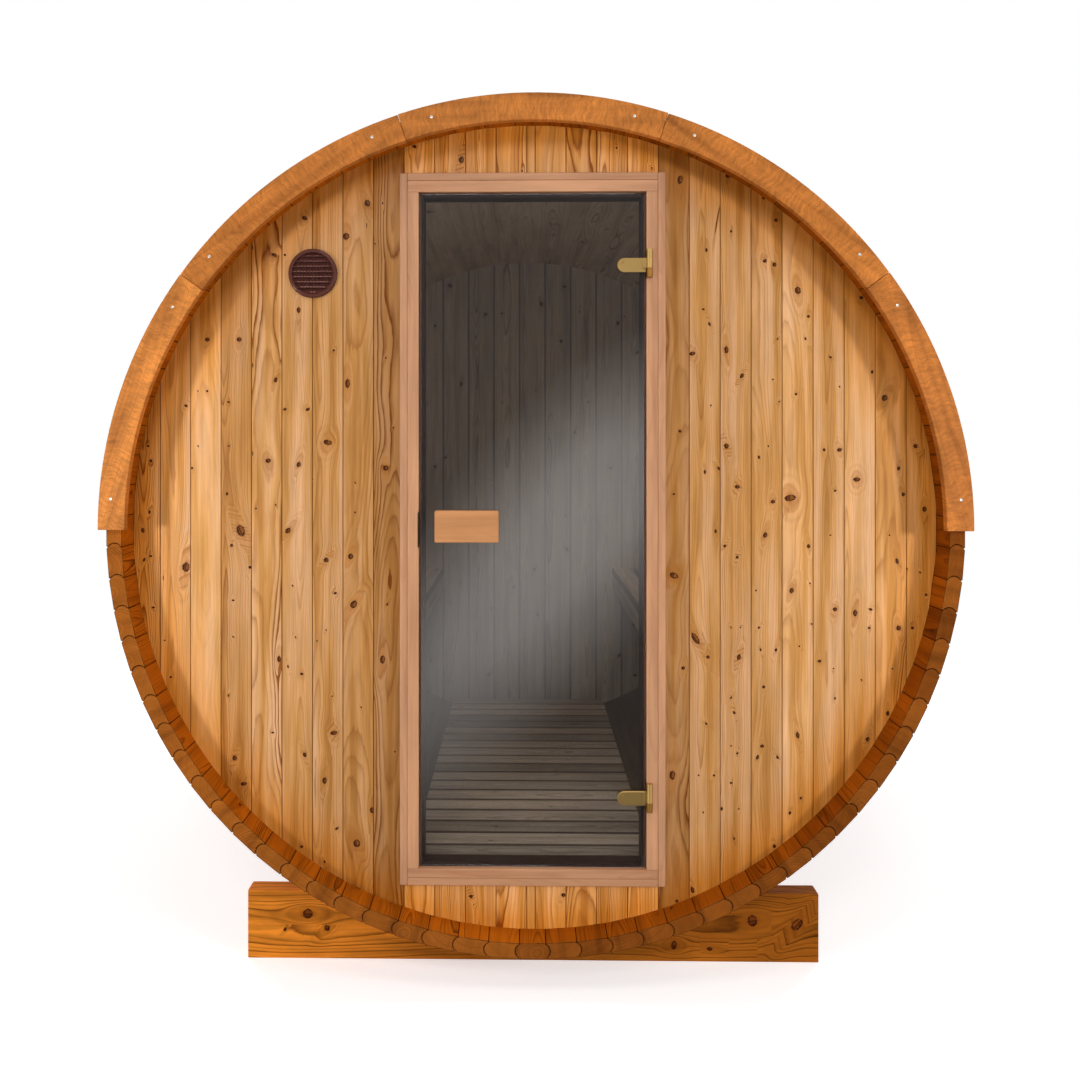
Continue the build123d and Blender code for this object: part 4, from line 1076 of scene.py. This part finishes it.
# Partly each arc's own tone and partly painted shade: the arcs past the leftmost are painted darker.
TRIM_TONES = (0.95, 0.78, 0.8, 0.78, 0.72)  # of the front ring's arcs, from the left

# Turned outlines, as (radius, height over the face that they are set in).
CAP_SCREW = (
    (0.0, 0.0001), (0.0014, 0.0001), (0.0017, 0.0005), (0.0030, 0.0004), (0.0034, 0.0), (0.0034, -0.001),
    (0.0, -0.001),
)
SCREW_HEAD = (
    (0.0, 0.0003), (0.0012, 0.0001), (0.0034, 0.0005), (0.0042, 0.0), (0.0042, -0.002), (0.0, -0.002),
)


class SAUNA_OT_trim(bpy.types.Operator):
    """Build the arcs of trim over the stave ends, with their screws"""

    bl_idname = "sauna.trim"
    bl_label = "Trim rings"

    def execute(self, context):
        finish = timber(
            "trim_stained", "trim", rough=0.55, pitch=0.005, lines=0.5, fibre=0.08, ripple=1.5, sheen=0.12
        )
        screw = metal("screw_steel", (0.55, 0.52, 0.46), 0.4, (200.0, 200.0, 200.0))
        arcs, uneven, set_back = len(TRIM_TONES), 0.0012, 0.0006
        screw_in, screw_out = math.radians(4.2), 0.004  # from an arc's end, and out from its middle line
        for node, way in (("trim_front", -1), ("trim_back", 1)):
            low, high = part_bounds(node)
            outer = high.z - AXIS
            inner = outer - TRIM_WIDTH
            thick = high.y - low.y - set_back
            y_middle = (low.y + high.y) / 2 - way * set_back / 2
            stock, screws = Stock(31 + way), []
            for n, tone in enumerate(TRIM_TONES):
                gap = TRIM_JOINT / 2 / outer
                start = math.pi * n / arcs + (gap if n else 0.0)
                end = math.pi * (n + 1) / arcs - (gap if n < arcs - 1 else 0.0)
                mean = (start + end) / 2
                middle = (outer + inner) / 2 + stock.draw.uniform(-uneven, 0.0)
                sections = []
                for turn, inset in stations(start, end, TRIM_END / outer, 0.03):
                    inset *= outer
                    c, s = math.cos(turn), math.sin(turn)
                    wide, deep = outer - inner - 2 * inset, thick - 2 * inset
                    ring = section_ring(wide, deep, TRIM_EASE - inset, 3)
                    sections.append(
                        [(-c * (middle + x), y_middle + y, AXIS + s * (middle + x)) for x, y in ring]
                    )
                out = Vector((-math.cos(mean), 0, math.sin(mean)))
                chord = Vector((math.sin(mean), 0, math.cos(mean)))
                cut = (Vector((0, y_middle, AXIS)) + out * middle, chord, out, AXES["Y"] * way)
                stock.add(*loft(sections), cut, tone=tone if way < 0 else None)
                for turn in (start + screw_in, end - screw_in):
                    aim = Vector((-math.cos(turn), 0, math.sin(turn)))
                    face = Vector((0, y_middle + way * thick / 2, AXIS))
                    screws.append(face + aim * (middle + screw_out))
            stock.build(f"{node}_arcs", [finish], "sauna", [node], "trim_timber")
            turned_piece(f"{node}_screws", screws, SCREW_HEAD, (0, way, 0), screw, "sauna", 12)
        return {"FINISHED"}


# ---- hoops, cradles
# Each cradle's knots, as (along from its middle, up from its middle, radius).
CRADLE_KNOTS = {
    "cradle_front": [
        (-0.635, 0.03, 0.017), (-0.7, -0.015, 0.006), (-0.58, -0.01, 0.01), (0.62, 0.02, 0.018),
        (0.745, 0.01, 0.019), (0.5, -0.06, 0.008), (0.4, -0.05, 0.012),
    ],
    "cradle_back": [(-0.6, 0.0, 0.014), (0.55, 0.02, 0.016), (0.7, -0.04, 0.008)],
}


def carved(seed, node, name, finish, slot, *cut, **look):
    """One fixed piece of all of a CAD node's timbers in their own shapes."""
    stock = Stock(seed)
    for part in loose_parts(node):
        carve(stock, part, *cut, **look)
    stock.build(name, [finish], "sauna", [node], slot)


class SAUNA_OT_hoops(bpy.types.Operator):
    """Dress the steel hoops and their tension rods"""

    bl_idname = "sauna.hoops"
    bl_label = "Hoops"

    def execute(self, context):
        tint = context.scene.sauna_colours.steel
        steel = metal("hoop_steel", tint, 0.38, (60.0, 420.0, 60.0), 0.14)
        rod = metal("rod_steel", tint, 0.3, (160.0, 160.0, 160.0))
        dressed("hoop_bands", "hoops", steel, 0.0003, "sauna")
        dressed("hoop_rods", "hoop_tensioners", rod, 0.0004, "sauna")
        return {"FINISHED"}


class SAUNA_OT_cradles(bpy.types.Operator):
    """Build the two cradles from their planks"""

    bl_idname = "sauna.cradles"
    bl_label = "Cradles"

    def execute(self, context):
        finish = timber(
            "cradle_stained", "cradle", rough=0.6, pitch=0.006, lines=0.9, sheen=0.04, cloudy=1.1
        )
        # painted light and shade: each cradle is painted lighter towards its left end and darker towards its
        # right
        look = {"figure": 0.95, "tone": 1.03, "lean": -0.56}
        for seed, (node, knots) in enumerate(CRADLE_KNOTS.items(), 41):
            cut = ("X", "Y", 0.003, 0.04, knots)
            carved(seed, node, f"{node}_plank", finish, "cradle_timber", *cut, **look)
        return {"FINISHED"}


# ---- door frame, stop and casing
class SAUNA_OT_door_frame(bpy.types.Operator):
    """Build the door frame, its stop and its casing"""

    bl_idname = "sauna.door_frame"
    bl_label = "Door frame"

    def execute(self, context):
        finish = timber("joinery_planed", "joinery", pitch=0.003, lines=0.7, fibre=0.05, sheen=0.3)
        ease, slot = context.scene.sauna_sizes.timber_ease, "joinery_timber"
        for seed, side in enumerate(("left", "right", "head", "sill"), 51):
            # painted light: the head is painted lighter than the jambs
            node, tone = f"door_frame_{side}", 1.12 if side == "head" else 1.0
            along = "Z" if side in ("left", "right") else "X"
            carved(seed, node, f"{node}_timber", finish, slot, along, "Y", ease, figure=0.35, tone=tone)
        # painted shade: the stop, which stands in shadow behind the glass, is painted dark, and the casing's
        # foot a little darker
        for seed, node, tone in ((55, "door_stop", 0.18), (56, "door_casing", None)):
            stock = Stock(seed)
            for low, high in boxes(node):
                along = "Z" if high.z - low.z > high.x - low.x else "X"
                foot = node == "door_casing" and along == "X" and high.z < AXIS
                plank(stock, low, high, along, "Y", ease, figure=0.35, tone=0.9 if foot else tone)
            stock.build(f"{node}_strips", [finish], "sauna", [node], slot)
        return {"FINISHED"}


# ---- door
class SAUNA_OT_glass(bpy.types.Operator):
    """Build the tinted glass of the door"""

    bl_idname = "sauna.glass"
    bl_label = "Glass"

    def execute(self, context):
        glass = tinted_glass("tinted_glass", context.scene.sauna_colours.glass)
        dressed("door_pane", "door_glass", glass, 0.001, "door")
        return {"FINISHED"}


class SAUNA_OT_handles(bpy.types.Operator):
    """Build the wooden grips on both sides of the glass"""

    bl_idname = "sauna.handles"
    bl_label = "Handles"

    def execute(self, context):
        finish = timber("handle_planed", "handle", pitch=0.003, lines=0.7, fibre=0.05, sheen=0.2)
        for seed, node in ((61, "handle_outside"), (62, "handle_inside")):
            stock = Stock(seed)
            for low, high in boxes(node):
                plank(stock, low, high, "X", "Y", 0.003, 0.04, 4, tone=1.0)
            stock.build(f"{node}_grip", [finish], "door", [node], "joinery_timber")
        return {"FINISHED"}


class SAUNA_OT_hinges(bpy.types.Operator):
    """Dress the brass hinges and their clamp screws"""

    bl_idname = "sauna.hinges"
    bl_label = "Hinges"

    def execute(self, context):
        ease, cap_in = context.scene.sauna_sizes.metal_ease, 0.013  # the cap's place, from the clamp's end
        tint = np.array(context.scene.sauna_colours.brass)
        brass = metal("satin_brass", tint, 0.5, (24.0, 500.0, 520.0))
        # the frame leaves are in a darker brass, the tint times 0.55
        leaf = metal("worn_brass", tint * 0.55, 0.5, (300.0, 300.0, 24.0))
        for place in ("upper", "lower"):
            dressed(f"hinge_{place}_leaf", f"hinge_{place}_frame", leaf, ease, "sauna")
            dressed(f"hinge_{place}_grip", f"hinge_{place}_clamp", brass, ease, "door")
            low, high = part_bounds(f"hinge_{place}_clamp")
            spot = Vector((low.x + cap_in, low.y, (low.z + high.z) / 2))
            cap = f"hinge_{place}_cap"
            turned_piece(cap, [spot], CAP_SCREW, (0, -1, 0), brass, "door", 16)
        return {"FINISHED"}


class SAUNA_OT_catch(bpy.types.Operator):
    """Dress the roller catch in the jamb"""

    bl_idname = "sauna.catch"
    bl_label = "Roller catch"

    def execute(self, context):
        plate = metal("catch_plate", context.scene.sauna_colours.catch, 0.4, (300.0, 300.0, 30.0))
        dressed("catch_and_roller", "roller_catch", plate, 0.0004, "sauna")
        return {"FINISHED"}


class SAUNA_OT_vent(bpy.types.Operator):
    """Dress the vent and add the ribs of its grille and the lips of its louvres, pale partly with dust and
    partly with painted highlight
    """

    bl_idname = "sauna.vent"
    bl_label = "Vent"

    def execute(self, context):
        tint = np.array(context.scene.sauna_colours.vent)
        # the lips' pale colour is partly dust and partly a painted highlight along the louvres' edges
        shell, pale = plastic("vent_plastic", tint), plastic("vent_lip", tint * 2.4 + 0.22)
        dressed("vent_grille", "vent", shell, 0.0006, "sauna")
        low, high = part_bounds("vent")
        middle, rim = (low + high) / 2, 0.0105
        bore, pitch, rows = (high.x - low.x) / 2 - rim, 0.0085, 8
        lip_drop, lip_clear = 0.0022, 0.003  # under its row's middle, and from the bore
        # each bar as its middle in x and z, and half its width and its height
        ribs = [(n * pitch, 0.0, 0.0006, math.sqrt(bore**2 - (n * pitch) ** 2)) for n in range(-5, 6)]
        lips = []
        for row in range(rows):
            z = (row + 0.5) * 2 * bore / rows - bore - lip_drop
            for n in range(-6, 6):
                x = (n + 0.5) * pitch
                if math.hypot(abs(x) + pitch / 2, z) < bore - lip_clear:
                    lips.append((x, z, 0.0031, 0.0007))
        for name, bars, finish, depths in (
            ("vent_ribs", ribs, shell, (0.0018, 0.0062)),
            ("vent_lips", lips, pale, (0.0076, 0.0094)),
        ):
            shapes = []
            for x, z, wide, tall in bars:
                left, right, under, over = x - wide, x + wide, z - tall, z + tall
                corners = ((left, under), (right, under), (right, over), (left, over))
                ends = [[(middle.x + p, high.y - y, middle.z + q) for p, q in corners] for y in depths]
                shapes.append(loft(ends))
            show(name, meshed(name, *together(shapes)), [finish], "sauna", ())
        return {"FINISHED"}


# ---- inside
class SAUNA_OT_inside(bpy.types.Operator):
    """Build the floor and the benches"""

    bl_idname = "sauna.inside"
    bl_label = "Floor and benches"

    def execute(self, context):
        finish, ease, slot = bare(), context.scene.sauna_sizes.timber_ease, "bench_timber"
        jobs = [("floor_slats", "X", "Z")]
        for hand in ("left", "right"):
            jobs += [(f"bench_slats_{hand}", "Y", "Z"), (f"bench_fascia_{hand}", "Y", "X")]
        for seed, (node, along, depth) in enumerate(jobs, 71):
            stock = Stock(seed)
            for low, high in boxes(node):
                tone = stock.draw.uniform(*((1.2, 1.4) if "fascia" in node else (0.85, 1.7)))
                across = min(high.y - low.y, high.x - low.x) if depth == "Z" else high.z - low.z
                look = {"tone": tone, "figure": stock.draw.uniform(0.5, 1.0), "width": across}
                plank(stock, low, high, along, depth, ease, 0.06, 2, None, **look)
            stock.build(f"{node}_boards", [finish], "sauna", [node], slot)
        for seed, node, along in (
            (81, "floor_bearers", "Y"),
            (82, "bench_bearers_left", "X"),
            (83, "bench_bearers_right", "X"),
        ):
            carved(seed, node, f"{node}_timber", finish, slot, along, "Z", 0.001, figure=0.6)
        return {"FINISHED"}


# ---- studio
def lamp(name, power, across, place, aim, spread=180.0):
    """A square soft light at a place, turned towards another, that spreads by so many degrees."""
    data = bpy.data.lights.new(name, "AREA")
    data.energy, data.size, data.spread = power, across, math.radians(spread)
    light = linked(name, data)
    light.location = place
    light.rotation_euler = (Vector(aim) - Vector(place)).to_track_quat("-Z", "Y").to_euler()
    return light


def unseen(thing, *rays):
    """Hides a thing from some kinds of ray."""
    for ray in rays:
        setattr(thing, f"visible_{ray}", False)


def staged(name, points, material):
    """A flat sheet of the studio from its outline."""
    mesh = meshed(name, points, [list(range(len(points)))])
    mesh.materials.append(material)
    sheet = linked(name, mesh)
    return sheet


def floor_paint():
    """A pale floor that keeps shadows and melts into the white surroundings."""
    g = Graph("studio_floor")
    place = g.add("TexCoord").outputs["Object"]
    x, y, _ = g.split(place)
    fade = g.ramp(g.times(g.length(x, y), 0.1), (0.3, 0.0), (0.62, 1.0))
    mottle = g.around(g.noise(g.stretch(place, (3.0, 3.0, 3.0))), 0.02)
    paint = g.add("BsdfDiffuse", {"Color": g.scale(g.vector(0.86, 0.86, 0.86), mottle)})
    # the eye sees it a little brighter than it is
    seen, gain = g.add("LightPath").outputs["Is Camera Ray"], 0.54
    lift = g.add("Emission", {"Color": WHITE, "Strength": g.times(seen, gain)})
    lit = g.add("AddShader", {0: paint.outputs[0], 1: lift.outputs[0]})
    open_air = g.add("BsdfTransparent")
    return g.finish(g.add("MixShader", {0: fade, 1: lit.outputs[0], 2: open_air.outputs[0]}))


def card_paint(strength):
    """A black card with a soft bright cloud that leans up to the right."""
    g = Graph("studio_card")
    x, _, z = g.split(g.add("TexCoord").outputs["Object"])
    right, up = g.less(x, 0.5), g.less(z, 0.95)
    along = g.line(right, 0.66, g.times(up, 0.75))
    aside = g.line(right, 0.75, g.times(up, -0.66))
    # the cloud reaches a different way to each of its four sides
    along = g.math("MAXIMUM", g.times(along, 1 / 1.75), g.times(along, -1 / 4.2))
    aside = g.math("MAXIMUM", aside, g.times(aside, -1 / 0.95))
    cloud = g.ramp(g.length(along, aside), (0.0, 1.0), (0.35, 0.85), (0.55, 0.5), (0.8, 0.18), (1.0, 0.0))
    return g.finish(g.add("Emission", {"Color": (1.0, 0.965, 0.935), "Strength": g.times(cloud, strength)}))


def surroundings(strength):
    """A soft white light all round, that the eye and the glass see as plain white."""
    g = Graph("studio_world", "worlds")
    path = g.add("LightPath").outputs
    seen = path["Is Camera Ray"]
    for ray in ("Is Glossy Ray", "Is Transmission Ray"):
        seen = g.math("MAXIMUM", seen, path[ray])
    soft = g.add("Background", {"Color": WHITE, "Strength": strength})
    white = g.add("Background", {"Color": WHITE})
    return g.finish(g.add("MixShader", {0: seen, 1: soft.outputs[0], 2: white.outputs[0]}), "OutputWorld")


class SAUNA_OT_studio(bpy.types.Operator):
    """Set the floor, lights, surroundings and camera"""

    bl_idname = "sauna.studio"
    bl_label = "Studio"

    def execute(self, context):
        scene, levels = context.scene, context.scene.sauna_studio
        reach, steps = 9.0, 48
        turns = [2 * math.pi * n / steps for n in range(steps)]
        rim = [(reach * math.cos(turn), reach * math.sin(turn), 0.0) for turn in turns]
        floor = staged("studio_floor", rim, floor_paint())
        half, y, foot, head = 2.2, -6.4, -3.0, 4.6
        corners = [(-half, y, foot), (half, y, foot), (half, y, head), (-half, y, head)]
        card = staged("studio_card", corners, card_paint(levels.glow))
        unseen(card, "camera", "diffuse", "transmission", "volume_scatter", "shadow")
        unseen(floor, "glossy")  # the card's lower part shows in the glass instead

        for side, name, share, height in ((-1, "key_left", 0.84, 1.2), (1, "key_right", 0.9, 1.6)):
            lamp(name, levels.key * share, 0.35, (side * 2.9, -3.6, height), (side * 0.9, -1.1, 1.25), 80)
        lamp("top_soft", levels.top, 1.8, (0.0, -4.6, 6.8), (0.0, -1.1, 1.4))
        lamp("front_soft", levels.front, 1.6, (-0.6, -7.0, 4.4), (0.0, 0.0, 0.9))
        for side, name in ((-1, "rear_left"), (1, "rear_right")):
            lamp(name, levels.rear, 2.5, (side * 4.4, 4.8, 4.2), (0.0, -1.1, 1.2))
        upper = lamp("cabin", levels.cabin, 0.6, (-0.15, -0.95, 1.75), (0.0, 1.2, 1.4), 125)
        lower = lamp("cabin_floor", levels.floor, 0.25, (0.12, -0.95, 1.5), (0.0, -0.55, 0.2), 75)
        for inside in (upper, lower):
            unseen(inside, "camera", "glossy", "transmission")
        scene.world = surroundings(levels.ambient)

        camera = bpy.data.cameras.new("camera")
        camera.sensor_width, camera.lens = 36.0, 34.69
        camera.shift_x, camera.shift_y = 0.0335, -0.0925
        eye = linked("camera", camera)
        eye.location = (-0.0281, -3.9382, 1.4692)
        eye.rotation_euler = (math.pi / 2, 0.0, math.radians(1.0))
        scene.camera = eye
        scene.view_settings.view_transform = "Standard"
        return {"FINISHED"}


class SAUNA_PT_sidebar(bpy.types.Panel):
    """The sauna's pieces, sizes and colours"""

    bl_idname = "SAUNA_PT_sidebar"
    bl_label = "Barrel sauna"
    bl_space_type = "VIEW_3D"
    bl_region_type = "UI"
    bl_category = "Sauna"

    def draw(self, context):
        for operator in OPERATORS:
            self.layout.operator(operator.bl_idname)
        for key in GROUPS:
            group, box = getattr(context.scene, key), self.layout.box()
            for name in group.__annotations__:
                box.prop(group, name)


OPERATORS = (
    SAUNA_OT_studio,
    SAUNA_OT_staves,
    SAUNA_OT_front_wall,
    SAUNA_OT_back_wall,
    SAUNA_OT_trim,
    SAUNA_OT_hoops,
    SAUNA_OT_cradles,
    SAUNA_OT_door_frame,
    SAUNA_OT_glass,
    SAUNA_OT_handles,
    SAUNA_OT_hinges,
    SAUNA_OT_catch,
    SAUNA_OT_vent,
    SAUNA_OT_inside,
)
GROUPS = {"sauna_colours": SaunaColours, "sauna_sizes": SaunaSizes, "sauna_studio": SaunaStudio}
CLASSES = (*GROUPS.values(), *OPERATORS, SAUNA_PT_sidebar)


def register():
    for cls in CLASSES:
        bpy.utils.register_class(cls)
    for name, group in GROUPS.items():
        setattr(bpy.types.Scene, name, bpy.props.PointerProperty(type=group))


def unregister():
    for name in GROUPS:
        delattr(bpy.types.Scene, name)
    for cls in reversed(CLASSES):
        bpy.utils.unregister_class(cls)


def main():
    register()
    for operator in OPERATORS:
        group, name = operator.bl_idname.split(".")
        getattr(getattr(bpy.ops, group), name)()


if __name__ == "__main__":
    main()
